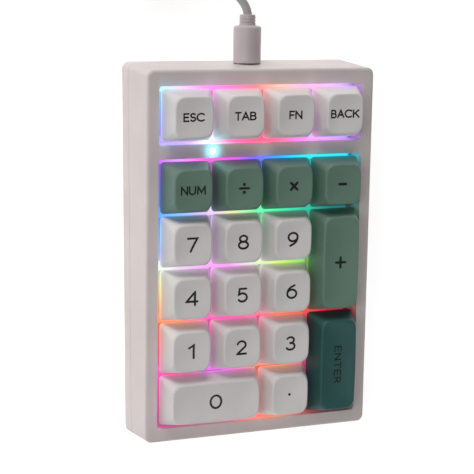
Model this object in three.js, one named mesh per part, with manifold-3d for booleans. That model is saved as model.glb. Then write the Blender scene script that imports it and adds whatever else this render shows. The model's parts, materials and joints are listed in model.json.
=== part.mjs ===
// A 21-key mechanical numeric keypad with a backlit deck, low-profile bezel and a detachable USB-C cable.
// Millimetres. +X to the right of the keypad, +Y to its cable side, +Z up. The keypad stands on its rubber
// feet at z = 0, and the origin is below the middle of its base.
import * as THREE from "three";
import { mergeVertices } from "three/addons/utils/BufferGeometryUtils.js";
import Module from "manifold-3d";

const wasm = await Module();
wasm.setup();

// ---- Driving dimensions ----
const PITCH = 19.05; // distance between key centres
const COLUMNS = 4;
const ROWS = 5; // rows of the main block; one more row lies beyond the divider bar
const ROW_GAP = 6.2; // extra distance between the main block and the function row
const WINDOW_MARGIN = 0.65; // from the key cells to the edge of a window in the bezel
const SIDE_BEZEL = 4.4;
const FRONT_BEZEL = 5.0;
const REAR_BEZEL = 5.6;
const TILT = THREE.MathUtils.degToRad(2.3); // the deck rises towards the cable side

const FRONT_HEIGHT = 21.4; // case, from its underside to the bezel's front edge
const FOOT_STAND = 1.2; // how far the case stands off the desk
const SIDE_DRAFT = 0.7; // how much further out each wall is at its foot
const FRONT_DRAFT = 0.7;
const REAR_DRAFT = 2.3;
const CORNER_RADIUS = 2.6;
const EDGE_RADIUS = 1.1; // rounding along the bezel's outer edge
const WALL = 2.2; // wall thickness at the bezel
const FLOOR = 2.4;
const SEAM_HEIGHT = 8.0; // where the top and bottom halves of the case meet
const SEAM_GAP = 0.15;

const PLATE_DEPTH = 8.0; // from the bezel down to the top of the switch plate
const PLATE_THICKNESS = 1.5;
const PCB_DEPTH = PLATE_DEPTH + 5.0; // standard plate-to-board distance
const PCB_THICKNESS = 1.6;
const BOARD_CLEARANCE = 0.4; // between the boards and the case walls
const FRAME_GAP = 0.3; // between the top case and the switch plate
const SWITCH_CUTOUT = 14.0;
const STABILISER_SPREAD = 11.938; // from the middle of a two-unit key to each of its stabilisers

const KEY_RISE = 6.1; // from the plate to the bottom of a keycap's skirt, key up
const CAP_BASE = 18.2;
const CAP_HEIGHT = 9.1;
const STEM_RISE = 10.2; // from the plate to the top of a switch stem, key up
const HOUSING_RISE = 6.6; // from the plate to the top of a switch housing

const SCREW_X = 38.5;
const SCREW_Y = 61.2;
const CABLE_DIAMETER = 3.1;
const COIL_CENTRE = new THREE.Vector2(-28, 127);
const COIL_INNER = 11.9; // radius of the innermost turn, to the cable's middle
const COIL_OUTER = 22.33;
const COIL_LAYERS = 4;
const TURN_PITCH = 3.15;

// ---- Sizes that follow ----
const BLOCK_WIDTH = COLUMNS * PITCH;
const BLOCK_LENGTH = ROWS * PITCH;
const WIDTH = BLOCK_WIDTH + 2 * (WINDOW_MARGIN + SIDE_BEZEL);
const LENGTH = BLOCK_LENGTH + ROW_GAP + PITCH + 2 * WINDOW_MARGIN + FRONT_BEZEL + REAR_BEZEL;
const DEPTH = LENGTH * Math.cos(TILT); // the bezel seen from above
const DECK_Y = (FRONT_DRAFT - REAR_DRAFT) / 2;
const DECK_Z = FOOT_STAND + FRONT_HEIGHT + (DEPTH / 2) * Math.tan(TILT);
const BLOCK_FRONT = -LENGTH / 2 + FRONT_BEZEL + WINDOW_MARGIN; // deck y of the front row's near edge
const FUNCTION_ROW_FRONT = BLOCK_FRONT + BLOCK_LENGTH + ROW_GAP;
const DIVIDER_Y = BLOCK_FRONT + BLOCK_LENGTH + ROW_GAP / 2;
const INNER_WIDTH = WIDTH - 2 * WALL;
const INNER_LENGTH = LENGTH - 2 * WALL;
const BOARD_WIDTH = INNER_WIDTH - 2 * BOARD_CLEARANCE;
const BOARD_LENGTH = INNER_LENGTH - 2 * BOARD_CLEARANCE;
const FLOOR_TOP = FOOT_STAND + FLOOR;
const FRAME_UNDERSIDE = -PLATE_DEPTH + FRAME_GAP;

// ---- Materials ----
const plastic = (color, roughness) => new THREE.MeshStandardMaterial({ color, roughness, metalness: 0 });
const metal = (color, roughness) => new THREE.MeshStandardMaterial({ color, roughness, metalness: 1 });
const CASE_WHITE = plastic(0xe6dedc, 0.5);
const CAP_WHITE = plastic(0xdcdad6, 0.55);
const CAP_GREEN = plastic(0x6e8578, 0.55);
const CAP_TEAL = plastic(0x2c5350, 0.55);
const PLATE_WHITE = plastic(0xe8e6e8, 0.4);
const BOARD_WHITE = plastic(0xd8dcd8, 0.45);
const FOAM = plastic(0x2a2a2c, 0.95);
const HOUSING_MILKY = plastic(0xe9ecf2, 0.3);
const STEM_COLOUR = plastic(0xe3c23a, 0.35);
const LENS_CLEAR = plastic(0xcfeef4, 0.15);
const RUBBER = plastic(0x6c6a6a, 0.9);
const STEEL = metal(0xb9bbbd, 0.3);
const CABLE_GREY = plastic(0xc9c3c4, 0.55);

// ---- Solid helpers ----
function solidOf(geometry) {
  const bare = geometry.index ? geometry.toNonIndexed() : geometry.clone();
  bare.deleteAttribute("normal");
  bare.deleteAttribute("uv");
  const merged = mergeVertices(bare, 1e-4);
  return new wasm.Manifold(
    new wasm.Mesh({
      numProp: 3,
      vertProperties: merged.attributes.position.array,
      triVerts: new Uint32Array(merged.index.array),
    }),
  );
}

function geometryOf(solid) {
  const { vertProperties, triVerts } = solid.getMesh();
  const geometry = new THREE.BufferGeometry();
  geometry.setAttribute("position", new THREE.BufferAttribute(vertProperties, 3));
  geometry.setIndex(new THREE.BufferAttribute(triVerts, 1));
  return geometry;
}

function join(...geometries) {
  return geometryOf(geometries.map(solidOf).reduce((sum, next) => sum.add(next)));
}

function cut(body, ...tools) {
  return geometryOf(tools.map(solidOf).reduce((rest, tool) => rest.subtract(tool), solidOf(body)));
}

function common(a, b) {
  return geometryOf(solidOf(a).intersect(solidOf(b)));
}

// Points of a rectangle with round corners, anticlockwise.
function outline(width, length, radius, steps = 2) {
  const points = [];
  const corners = [[1, 1], [-1, 1], [-1, -1], [1, -1]];
  corners.forEach(([sideX, sideY], quarter) => {
    for (let i = 0; i <= steps; i++) {
      const angle = ((quarter + i / steps) * Math.PI) / 2;
      points.push(
        new THREE.Vector2(
          sideX * (width / 2 - radius) + radius * Math.cos(angle),
          sideY * (length / 2 - radius) + radius * Math.sin(angle),
        ),
      );
    }
  });
  return points.filter((p, i) => p.distanceTo(points[(i + 1) % points.length]) > 1e-6);
}

function circle(radius, sides) {
  const points = [];
  for (let i = 0; i < sides; i++) {
    const angle = (2 * Math.PI * (i + 0.5)) / sides;
    points.push(new THREE.Vector2(radius * Math.cos(angle), radius * Math.sin(angle)));
  }
  return points;
}

const moved = (points, x, y) => points.map((p) => new THREE.Vector2(p.x + x, p.y + y));

const rectangle = (width, length) =>
  [[1, 1], [-1, 1], [-1, -1], [1, -1]].map(([x, y]) => new THREE.Vector2((x * width) / 2, (y * length) / 2));

// A straight-sided solid on an outline, between two heights.
function prism(points, low, high, holes = []) {
  const shape = new THREE.Shape(points);
  shape.holes = holes.map((hole) => new THREE.Path(hole));
  return new THREE.ExtrudeGeometry(shape, { depth: high - low, bevelEnabled: false }).translate(0, 0, low);
}

function block(width, length, low, high, x = 0, y = 0) {
  return new THREE.BoxGeometry(width, length, high - low).translate(x, y, (low + high) / 2);
}

function cylinder(radius, low, high, x = 0, y = 0, sides = 16) {
  return new THREE.CylinderGeometry(radius, radius, high - low, sides)
    .rotateX(Math.PI / 2)
    .translate(x, y, (low + high) / 2);
}

// A closed solid through rings of 3D points, all anticlockwise as seen from the last ring's side.
function loft(rings) {
  const count = rings[0].length;
  const last = (rings.length - 1) * count;
  const faces = [];
  for (let ring = 0; ring < last; ring += count) {
    for (let i = 0; i < count; i++) {
      const a = ring + i;
      const b = ring + ((i + 1) % count);
      faces.push(a, b, b + count, a, b + count, a + count);
    }
  }
  for (let i = 1; i < count - 1; i++) faces.push(0, i + 1, i, last, last + i, last + i + 1);
  const geometry = new THREE.BufferGeometry().setFromPoints(rings.flat());
  geometry.setIndex(faces);
  return geometry;
}

const ringAt = (points, z) => points.map((p) => new THREE.Vector3(p.x, p.y, z));

// A solid turned about the Z axis from [radius, height] pairs, listed upwards along its outside.
function turned(profile, sides = 24) {
  const points = profile.map(([radius, height]) => new THREE.Vector2(radius, height));
  return new THREE.LatheGeometry(points, sides).rotateX(Math.PI / 2);
}

// ---- The keys ----
const column = (index) => (index + 0.5 - COLUMNS / 2) * PITCH;
const row = (index) => BLOCK_FRONT + BLOCK_LENGTH - (index + 0.5) * PITCH;
const functionRow = FUNCTION_ROW_FRONT + PITCH / 2;

// Each key: name, deck x, deck y, width and length in units, cap material.
const KEYS = [
  ["esc", column(0), functionRow, 1, 1, CAP_WHITE],
  ["tab", column(1), functionRow, 1, 1, CAP_WHITE],
  ["fn", column(2), functionRow, 1, 1, CAP_WHITE],
  ["back", column(3), functionRow, 1, 1, CAP_WHITE],
  ["num", column(0), row(0), 1, 1, CAP_GREEN],
  ["divide", column(1), row(0), 1, 1, CAP_GREEN],
  ["multiply", column(2), row(0), 1, 1, CAP_GREEN],
  ["minus", column(3), row(0), 1, 1, CAP_GREEN],
  ["7", column(0), row(1), 1, 1, CAP_WHITE],
  ["8", column(1), row(1), 1, 1, CAP_WHITE],
  ["9", column(2), row(1), 1, 1, CAP_WHITE],
  ["plus", column(3), row(1.5), 1, 2, CAP_GREEN],
  ["4", column(0), row(2), 1, 1, CAP_WHITE],
  ["5", column(1), row(2), 1, 1, CAP_WHITE],
  ["6", column(2), row(2), 1, 1, CAP_WHITE],
  ["1", column(0), row(3), 1, 1, CAP_WHITE],
  ["2", column(1), row(3), 1, 1, CAP_WHITE],
  ["3", column(2), row(3), 1, 1, CAP_WHITE],
  ["enter", column(3), row(3.5), 1, 2, CAP_TEAL],
  ["0", column(0.5), row(4), 2, 1, CAP_WHITE],
  ["dot", column(2), row(4), 1, 1, CAP_WHITE],
].map(([name, x, y, wide, long, material]) => ({ name, x, y, wide, long, material }));

// Where a key's stabilisers stand, seen from the middle of the key; none on a one-unit key.
function stabilisers({ wide, long }) {
  if (wide > 1) return [[-STABILISER_SPREAD, 0], [STABILISER_SPREAD, 0]];
  if (long > 1) return [[0, -STABILISER_SPREAD], [0, STABILISER_SPREAD]];
  return [];
}

// The plus-shaped section of a switch stem, anticlockwise.
function crossOutline(span, thickness) {
  const a = span / 2;
  const b = thickness / 2;
  const arm = [[a, -b], [a, b], [b, b]];
  return [0, 1, 2, 3].flatMap((turn) =>
    arm.map(([x, y]) => new THREE.Vector2(x, y).rotateAround(new THREE.Vector2(), (turn * Math.PI) / 2)),
  );
}

// A keycap's skirt, from its bottom (z = 0) to its top, as [inset from the base, height, corner radius].
const CAP_OUTSIDE = [[0, 0, 1.3], [0.45, 4.0, 1.9], [1.25, 7.6, 2.6], [2.2, CAP_HEIGHT, 3.2]];
const CAP_INSIDE = [[1.1, -0.5, 0.8], [1.1, 0, 0.8], [1.7, 4.2, 1.2], [2.9, 7.3, 1.6]];

function keycapGeometry(key) {
  const width = CAP_BASE + (key.wide - 1) * PITCH;
  const length = CAP_BASE + (key.long - 1) * PITCH;
  const skin = (levels) =>
    loft(levels.map(([inset, z, r]) => ringAt(outline(width - 2 * inset, length - 2 * inset, r), z)));
  const hollow = cut(skin(CAP_OUTSIDE), skin(CAP_INSIDE));
  const postTop = CAP_INSIDE.at(-1)[1] + 0.4;
  const posts = [[0, 0], ...stabilisers(key)].map(([x, y]) =>
    prism(circle(2.75, 8), 0.6, postTop).translate(x, y, 0),
  );
  const sockets = [[0, 0], ...stabilisers(key)].map(([x, y]) =>
    prism(crossOutline(4.2, 1.4), 0, 4.6).translate(x, y, 0),
  );
  return cut(join(hollow, ...posts), ...sockets);
}

// The slider of a switch: its block runs in the housing, and its cross carries the keycap.
function stemGeometry() {
  return join(
    block(6.8, 5.6, -0.1, HOUSING_RISE - 0.2),
    prism(crossOutline(4.1, 1.3), HOUSING_RISE - 0.3, STEM_RISE),
  );
}

function housingGeometry() {
  const square = (side, z) => ringAt(rectangle(side, side), z);
  const body = join(
    block(13.8, 13.8, -4.7, 0.3),
    block(15.6, 15.6, 0.1, 1.0),
    loft([square(14.4, 0.8), square(11.4, HOUSING_RISE)]),
    cylinder(1.9, -8.2, -4.6, 0, 0, 8),
  );
  return cut(body, block(7.4, 6.2, -4.4, HOUSING_RISE + 1));
}

// ---- The case ----
const deck = new THREE.Group();
deck.position.set(0, DECK_Y, DECK_Z);
deck.rotation.x = TILT;
deck.updateMatrix();
const toRow = (geometry) => geometry.applyMatrix4(deck.matrix);

// The whole case as one block, before it is hollowed and split.
function caseBlock() {
  const steps = 4; // straight pieces in each rounded corner
  const baseLength = DEPTH + FRONT_DRAFT + REAR_DRAFT;
  const baseWidth = WIDTH + 2 * SIDE_DRAFT;
  const foot = (inset, z) =>
    ringAt(outline(baseWidth - 2 * inset, baseLength - 2 * inset, CORNER_RADIUS - inset, steps), z);
  const rim = (inset, z) =>
    ringAt(outline(WIDTH - 2 * inset, LENGTH - 2 * inset, CORNER_RADIUS - inset, steps), z).map((p) =>
      p.applyMatrix4(deck.matrix),
    );
  return loft([
    foot(0.5, FOOT_STAND),
    foot(0, FOOT_STAND + 0.5),
    rim(0, -EDGE_RADIUS),
    rim(EDGE_RADIUS * 0.3, -EDGE_RADIUS * 0.3),
    rim(EDGE_RADIUS, 0),
  ]);
}

const slab = (low, high) => block(200, 300, low, high);
const interior = () => toRow(prism(outline(INNER_WIDTH, INNER_LENGTH, 1.5), -40, FRAME_UNDERSIDE));
const windowFor = (front, rows) =>
  prism(
    outline(BLOCK_WIDTH + 2 * WINDOW_MARGIN, rows * PITCH + 2 * WINDOW_MARGIN, 1.0),
    FRAME_UNDERSIDE - 1,
    1,
  ).translate(0, front + (rows * PITCH) / 2, 0);

const SOCKET_DROP = PCB_DEPTH + PCB_THICKNESS + 1.7; // from the bezel down to the middle of the USB socket
const TONGUES_X = [-24, 24];
const TONGUE_Y = -DEPTH / 2 + DECK_Y + 1.75;
const LENS_X = column(0.5);

function topCase() {
  const shell = common(caseBlock(), slab(SEAM_HEIGHT + SEAM_GAP, 60));
  const bosses = [-SCREW_X, SCREW_X].map((x) => cylinder(2.2, SEAM_HEIGHT + 0.3, 20.6, x, SCREW_Y));
  const screwHoles = [-SCREW_X, SCREW_X].map((x) => cylinder(1.35, SEAM_HEIGHT, 17.5, x, SCREW_Y, 12));
  return cut(
    join(cut(shell, interior()), ...bosses),
    ...screwHoles,
    toRow(windowFor(BLOCK_FRONT, ROWS)),
    toRow(windowFor(FUNCTION_ROW_FRONT, 1)),
    toRow(cylinder(1.3, FRAME_UNDERSIDE - 1, 1, LENS_X, DIVIDER_Y, 12)),
    toRow(
      prism(outline(9.7, 3.9, 1.95), -8, 0)
        .rotateX(Math.PI / 2)
        .translate(0, LENGTH / 2 - 4, -SOCKET_DROP),
    ),
    ...TONGUES_X.map((x) => block(12.6, 2.4, SEAM_HEIGHT - 1, SEAM_HEIGHT + 3.3, x, TONGUE_Y + 0.75)),
  );
}

const POST_X = [-PITCH, PITCH];
const POST_Y = [row(3.5), row(0.5)];
const FOOT_LENGTH = 64;
const FOOT_WIDTH = 8;
const FEET_Y = { front_foot: -54, rear_foot: 53 };

function bottomCase() {
  const shell = common(caseBlock(), slab(0, SEAM_HEIGHT));
  const cavity = common(interior(), slab(FLOOR_TOP, SEAM_HEIGHT + 1));
  const supports = POST_X.flatMap((x) => POST_Y.map((y) => supportPost(x, y)));
  const bosses = [-SCREW_X, SCREW_X].map((x) => cylinder(2.9, FLOOR_TOP - 0.5, SEAM_HEIGHT, x, SCREW_Y));
  const tongues = TONGUES_X.map((x) =>
    block(12, 0.9, SEAM_HEIGHT - 1.5, SEAM_HEIGHT + 3, x, TONGUE_Y),
  );
  const footPockets = Object.values(FEET_Y).map((y) =>
    prism(outline(FOOT_LENGTH + 0.4, FOOT_WIDTH + 0.4, FOOT_WIDTH / 2, 4), 0, FOOT_STAND + 0.65).translate(0, y, 0),
  );
  const screwHoles = [-SCREW_X, SCREW_X].flatMap((x) => [
    cylinder(1.35, 0, SEAM_HEIGHT + 1, x, SCREW_Y, 12),
    cylinder(2.4, 0, FOOT_STAND + 1.8, x, SCREW_Y),
  ]);
  return cut(join(cut(shell, cavity), ...supports, ...bosses, ...tongues), ...footPockets, ...screwHoles);
}

// A post from the case floor to just under the circuit board, at a deck position.
function supportPost(x, y) {
  const top = new THREE.Vector3(x, y, -PCB_DEPTH - PCB_THICKNESS - 0.35).applyMatrix4(deck.matrix);
  return cylinder(2, FLOOR_TOP - 0.5, top.z, x, top.y, 12);
}

// ---- The boards ----
const NOTCH = 5.2; // cut from the rear corners of the boards, around the screw bosses

function boardOutline(width, length) {
  const x = width / 2;
  const y = length / 2;
  const chamfer = 1;
  return [[chamfer - x, -y], [x - chamfer, -y], [x, chamfer - y], [x, y - NOTCH], [x - NOTCH, y - NOTCH]]
    .concat([[x - NOTCH, y], [NOTCH - x, y], [NOTCH - x, y - NOTCH], [-x, y - NOTCH], [-x, chamfer - y]])
    .map(([px, py]) => new THREE.Vector2(px, py));
}

function switchPlate() {
  const low = -PLATE_DEPTH - PLATE_THICKNESS;
  const hole = (width, length, x, y) => block(width, length, low - 1, 1 - PLATE_DEPTH, x, y);
  const holes = KEYS.flatMap((key) => [
    hole(SWITCH_CUTOUT, SWITCH_CUTOUT, key.x, key.y),
    ...stabilisers(key).map(([x, y]) => hole(x ? 6.8 : 13.4, x ? 13.4 : 6.8, key.x + x, key.y + y)),
  ]);
  return cut(prism(boardOutline(BOARD_WIDTH, BOARD_LENGTH), low, -PLATE_DEPTH), ...holes);
}

function circuitBoard() {
  const holes = KEYS.map((key) => moved(circle(2.3, 8), key.x, key.y));
  return prism(boardOutline(BOARD_WIDTH, BOARD_LENGTH), -PCB_DEPTH - PCB_THICKNESS, -PCB_DEPTH, holes);
}

// All the switch housings, standing on the thin film that covers the circuit board.
function switchHousings() {
  const film = prism(boardOutline(BOARD_WIDTH - 2, BOARD_LENGTH - 2), -4.9, -4.5);
  const housing = housingGeometry();
  const housings = KEYS.map(({ x, y }) => housing.clone().translate(x, y, 0));
  return join(film, ...housings).translate(0, 0, -PLATE_DEPTH);
}

function caseFoam() {
  const holes = POST_X.flatMap((x) =>
    POST_Y.map((y) => moved(circle(2.8, 12), x, new THREE.Vector3(x, y, -20).applyMatrix4(deck.matrix).y)),
  );
  return prism(moved(outline(INNER_WIDTH - 3, 119, 2), 0, -3.5), FLOOR_TOP + 0.1, FLOOR_TOP + 2.3, holes);
}

// ---- USB-C socket, plug and cable, along the deck's Y axis ----
const SOCKET_FRONT = LENGTH / 2 + 0.4; // deck y of the socket's mouth
const SOCKET_LENGTH = 7.6;
const PLUG_FACE = LENGTH / 2 + 1.2; // deck y of the face of the plug's grip, in place
const GRIP_RADIUS = 5.0;
const GRIP_LENGTH = 13.1;
const COLLAR_RADIUS = 2.95;
const COLLAR_LENGTH = 3.9;

// Lays a solid made upwards along Z down along the deck's Y axis, on the socket's axis.
const alongSocket = (geometry, y) => geometry.rotateX(-Math.PI / 2).translate(0, y, -SOCKET_DROP);

function usbSocket() {
  const shell = cut(
    prism(outline(9.05, 3.25, 1.625, 5), 0, SOCKET_LENGTH),
    prism(outline(8.45, 2.65, 1.325, 5), 1.0, SOCKET_LENGTH + 1),
  );
  const tongue = block(6.2, 0.7, 0.5, 5.6);
  return alongSocket(join(shell, tongue), SOCKET_FRONT - SOCKET_LENGTH);
}

function plugShell() {
  const length = 6.5;
  const tube = prism(outline(8.25, 2.4, 1.2, 5), 0, length, [outline(7.65, 1.8, 0.9, 5)]);
  return alongSocket(tube, PLUG_FACE - length - 0.05);
}

function plugGrip() {
  const end = GRIP_LENGTH + COLLAR_LENGTH;
  const body = turned([
    [0, 0],
    [GRIP_RADIUS - 0.35, 0],
    [GRIP_RADIUS, 0.35],
    [GRIP_RADIUS, GRIP_LENGTH - 0.5],
    [GRIP_RADIUS - 0.5, GRIP_LENGTH],
    [COLLAR_RADIUS, GRIP_LENGTH],
    [COLLAR_RADIUS, end - 0.3],
    [COLLAR_RADIUS - 0.3, end],
    [0, end],
  ]);
  return alongSocket(body, PLUG_FACE);
}

// The cable's free run, from the plug's collar back and down to the desk and on to the coil.
const CABLE_ROUTE = [
  [0, 84.55, 12.35],
  [-0.3, 86.0, 12.3],
  [-0.95, 88.0, 12.05],
  [-2.1, 90.4, 11.4],
  [-3.5, 93.4, 10.1],
  [-4.7, 97.0, 8.1],
  [-5.4, 101.0, 5.7],
  [-5.6, 105.0, 3.6],
  [-5.5, 109.0, 2.2],
  [-5.4, 112.5, 1.65],
].map(([x, y, z]) => new THREE.Vector3(x, y, z));

function cableLead() {
  return new THREE.ExtrudeGeometry(new THREE.Shape(circle(CABLE_DIAMETER / 2, 8)), {
    steps: 24,
    extrudePath: new THREE.CatmullRomCurve3(CABLE_ROUTE),
    bevelEnabled: false,
  });
}

// The outer shape of the wound cable: a flat ring.
function cableCoil() {
  const inner = COIL_INNER - CABLE_DIAMETER / 2;
  const outer = COIL_OUTER + CABLE_DIAMETER / 2;
  const height = CABLE_DIAMETER + (COIL_LAYERS - 1) * TURN_PITCH;
  const round = 1.2;
  return turned(
    [
      [inner, round],
      [inner + round, 0],
      [outer - round, 0],
      [outer, round],
      [outer, height - round],
      [outer - round, height],
      [inner + round, height],
      [inner, height - round],
      [inner, round],
    ],
    36,
  );
}

const USB_A_HEIGHT = 4.0; // middle of the plug above the desk
const USB_A_GRIP = { width: 15.4, height: 7.8, length: 27 };
const USB_A_SHELL = { width: 12.0, height: 4.5, length: 12, wall: 0.3 };
const USB_A_SEAT = { depth: 1.5, clearance: 0.35 }; // the recess in the grip that the metal shell comes out of

// Made upwards along Z; its tongue stands inside the metal shell.
function usbAGrip() {
  const { width, height, length } = USB_A_GRIP;
  const section = (w, h, r, z) => ringAt(outline(w, h, r, 3), z);
  const grip = loft([
    section(5.4, 5.4, 2.6, 0),
    section(6.4, 6.4, 2.9, 5.5),
    section(width - 0.6, height - 0.6, 1.6, 6.5),
    section(width, height, 1.8, 7.4),
    section(width, height, 1.8, length - 0.8),
    section(width - 1, height - 1, 1.4, length),
  ]);
  const { depth, clearance } = USB_A_SEAT;
  const seatOutline = outline(USB_A_SHELL.width + 2 * clearance, USB_A_SHELL.height + 2 * clearance, 0.8, 1);
  const seat = prism(seatOutline, length - depth, length + 1);
  const tongue = block(10.8, 1.9, length - depth - 1, length + USB_A_SHELL.length - 0.8, 0, -0.8);
  return join(cut(grip, seat), tongue);
}

function usbAShell() {
  const { width, height, length, wall } = USB_A_SHELL;
  const opening = outline(width - 2 * wall, height - 2 * wall, 0.3, 1);
  const hidden = USB_A_SEAT.depth - USB_A_SEAT.clearance;
  return prism(outline(width, height, 0.5, 2), -hidden, length, [opening]);
}

// ---- Feet, screws, lens ----
function foot(y) {
  return loft([
    ringAt(moved(outline(FOOT_LENGTH - 0.8, FOOT_WIDTH - 0.8, FOOT_WIDTH / 2 - 0.4, 4), 0, y), 0),
    ringAt(moved(outline(FOOT_LENGTH, FOOT_WIDTH, FOOT_WIDTH / 2, 4), 0, y), 0.4),
    ringAt(moved(outline(FOOT_LENGTH, FOOT_WIDTH, FOOT_WIDTH / 2, 4), 0, y), FOOT_STAND + 0.55),
  ]);
}

function screw() {
  const head = FOOT_STAND + 0.3;
  return turned(
    [
      [0, head],
      [1.7, head],
      [2.0, head + 0.3],
      [2.0, head + 1.4],
      [1.05, head + 1.4],
      [1.05, 15.4],
      [0.5, 16.0],
      [0, 16.0],
    ],
    16,
  );
}

function indicatorLens() {
  const top = 0.05;
  return turned(
    [
      [0, FRAME_UNDERSIDE],
      [1.0, FRAME_UNDERSIDE],
      [1.0, top - 0.25],
      [0.75, top],
      [0, top],
    ],
    12,
  ).translate(LENS_X, DIVIDER_Y, 0);
}

// ---- The assembly ----
const keypad = new THREE.Group();
keypad.add(deck);

function add(parent, name, geometry, material) {
  const mesh = new THREE.Mesh(geometry, material);
  mesh.name = name;
  parent.add(mesh);
  return mesh;
}

add(keypad, "top_case", topCase(), CASE_WHITE);
add(keypad, "bottom_case", bottomCase(), CASE_WHITE);
add(keypad, "case_foam", caseFoam(), FOAM);
for (const [name, y] of Object.entries(FEET_Y)) add(keypad, name, foot(y), RUBBER);
for (const [name, x] of [["screw_left", -SCREW_X], ["screw_right", SCREW_X]]) {
  add(keypad, name, screw(), STEEL).position.set(x, SCREW_Y, 0);
}

add(deck, "switch_plate", switchPlate(), PLATE_WHITE);
add(deck, "pcb", circuitBoard(), BOARD_WHITE);
add(deck, "switch_housings", switchHousings(), HOUSING_MILKY);
add(deck, "indicator_lens", indicatorLens(), LENS_CLEAR);
add(deck, "usb_socket", usbSocket(), STEEL);
add(deck, "usb_c_plug_shell", plugShell(), STEEL);
add(deck, "usb_c_overmould", plugGrip(), CABLE_GREY);

const stem = stemGeometry();
const capShapes = new Map();
for (const key of KEYS) {
  const size = `${key.wide}x${key.long}`;
  if (!capShapes.has(size)) capShapes.set(size, keycapGeometry(key));
  add(deck, `stem_${key.name}`, stem, STEM_COLOUR).position.set(key.x, key.y, -PLATE_DEPTH);
  const cap = add(deck, `keycap_${key.name}`, capShapes.get(size), key.material);
  cap.position.set(key.x, key.y, KEY_RISE - PLATE_DEPTH);
}

add(keypad, "cable_lead", cableLead(), CABLE_GREY);
add(keypad, "cable_coil", cableCoil(), CABLE_GREY).position.set(COIL_CENTRE.x, COIL_CENTRE.y, 0);

// The computer end lies on the desk behind the coil, pointing along -X.
const computerEnd = new THREE.Group();
computerEnd.position.set(COIL_CENTRE.x - 22, COIL_CENTRE.y + 25, USB_A_HEIGHT);
computerEnd.rotation.set(0, -Math.PI / 2, -Math.PI / 2, "YXZ");
keypad.add(computerEnd);
add(computerEnd, "usb_a_overmould", usbAGrip(), CABLE_GREY);
add(computerEnd, "usb_a_shell", usbAShell(), STEEL).position.z = USB_A_GRIP.length;

export default keypad;
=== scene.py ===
"""The looks of a backlit mechanical numeric keypad with its USB cable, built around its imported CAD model.

Shapes are made in millimetres. Most of them are made on the deck, the tilted plane of the bezel, whose
origin is the middle of the bezel, and `deck` turns such a point into the model's frame, in metres.
"""

import math

import bmesh
import bpy
from mathutils import Matrix, Vector
from mathutils.geometry import tessellate_polygon
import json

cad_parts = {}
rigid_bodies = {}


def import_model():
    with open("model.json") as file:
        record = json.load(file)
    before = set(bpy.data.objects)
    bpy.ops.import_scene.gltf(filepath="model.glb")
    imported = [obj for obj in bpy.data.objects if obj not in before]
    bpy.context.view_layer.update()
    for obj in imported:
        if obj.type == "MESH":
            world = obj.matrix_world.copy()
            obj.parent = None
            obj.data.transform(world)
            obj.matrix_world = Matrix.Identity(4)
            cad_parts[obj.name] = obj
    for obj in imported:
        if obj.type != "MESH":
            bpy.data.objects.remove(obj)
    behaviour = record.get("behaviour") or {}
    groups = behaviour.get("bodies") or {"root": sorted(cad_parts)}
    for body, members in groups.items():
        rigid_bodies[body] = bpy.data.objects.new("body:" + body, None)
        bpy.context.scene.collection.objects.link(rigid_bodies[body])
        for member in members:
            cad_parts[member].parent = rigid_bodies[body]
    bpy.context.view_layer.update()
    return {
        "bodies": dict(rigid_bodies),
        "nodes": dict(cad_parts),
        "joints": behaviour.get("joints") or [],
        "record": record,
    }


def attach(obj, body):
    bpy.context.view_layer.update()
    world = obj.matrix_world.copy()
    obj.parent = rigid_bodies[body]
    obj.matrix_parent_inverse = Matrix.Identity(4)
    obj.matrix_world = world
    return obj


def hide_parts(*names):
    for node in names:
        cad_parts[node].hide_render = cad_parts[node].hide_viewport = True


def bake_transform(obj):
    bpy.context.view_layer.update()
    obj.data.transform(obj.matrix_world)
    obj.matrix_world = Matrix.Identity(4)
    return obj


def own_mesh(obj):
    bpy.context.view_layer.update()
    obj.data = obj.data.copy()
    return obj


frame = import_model()

# ---- Driving dimensions, in millimetres ----
MM = 0.001
PITCH = 19.05
COLUMNS, ROWS = 4, 5
ROW_GAP = 6.2
WINDOW_MARGIN = 0.65
SIDE_BEZEL, FRONT_BEZEL, REAR_BEZEL = 4.4, 5.0, 5.6
TILT = math.radians(2.3)
FRONT_HEIGHT = 21.4
FOOT_STAND = 1.2
SIDE_DRAFT, FRONT_DRAFT, REAR_DRAFT = 0.7, 0.7, 2.3
CORNER_RADIUS = 2.6
EDGE_RADIUS = 1.1
WALL = 2.2
FLOOR_TOP = 3.6
SEAM_HEIGHT, SEAM_GAP = 8.0, 0.15
PLATE_DEPTH, PLATE_THICKNESS = 8.0, 1.5
FRAME_UNDERSIDE = -7.7
BOARD_DEPTH = 14.6  # from the bezel down to the underside of the circuit board
STABILISER_SPREAD = 11.938
CAP_BASE, CAP_HEIGHT = 18.2, 9.1
CAP_BOTTOM = 6.1 - PLATE_DEPTH  # height of a keycap's skirt on the deck
CABLE_DIAMETER = 3.1

WIDTH = COLUMNS * PITCH + 2 * (WINDOW_MARGIN + SIDE_BEZEL)
LENGTH = (ROWS + 1) * PITCH + ROW_GAP + 2 * WINDOW_MARGIN + FRONT_BEZEL + REAR_BEZEL
DEPTH = LENGTH * math.cos(TILT)
DECK_Y = (FRONT_DRAFT - REAR_DRAFT) / 2
DECK_Z = FOOT_STAND + FRONT_HEIGHT + DEPTH / 2 * math.tan(TILT)
BLOCK_FRONT = -LENGTH / 2 + FRONT_BEZEL + WINDOW_MARGIN
BLOCK_REAR = BLOCK_FRONT + ROWS * PITCH
FUNCTION_FRONT = BLOCK_REAR + ROW_GAP
FUNCTION_REAR = FUNCTION_FRONT + PITCH
DIVIDER_Y = BLOCK_REAR + ROW_GAP / 2
INNER_WIDTH, INNER_LENGTH = WIDTH - 2 * WALL, LENGTH - 2 * WALL
DECK = Matrix.Translation((0, DECK_Y, DECK_Z)) @ Matrix.Rotation(TILT, 4, "X")


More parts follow.
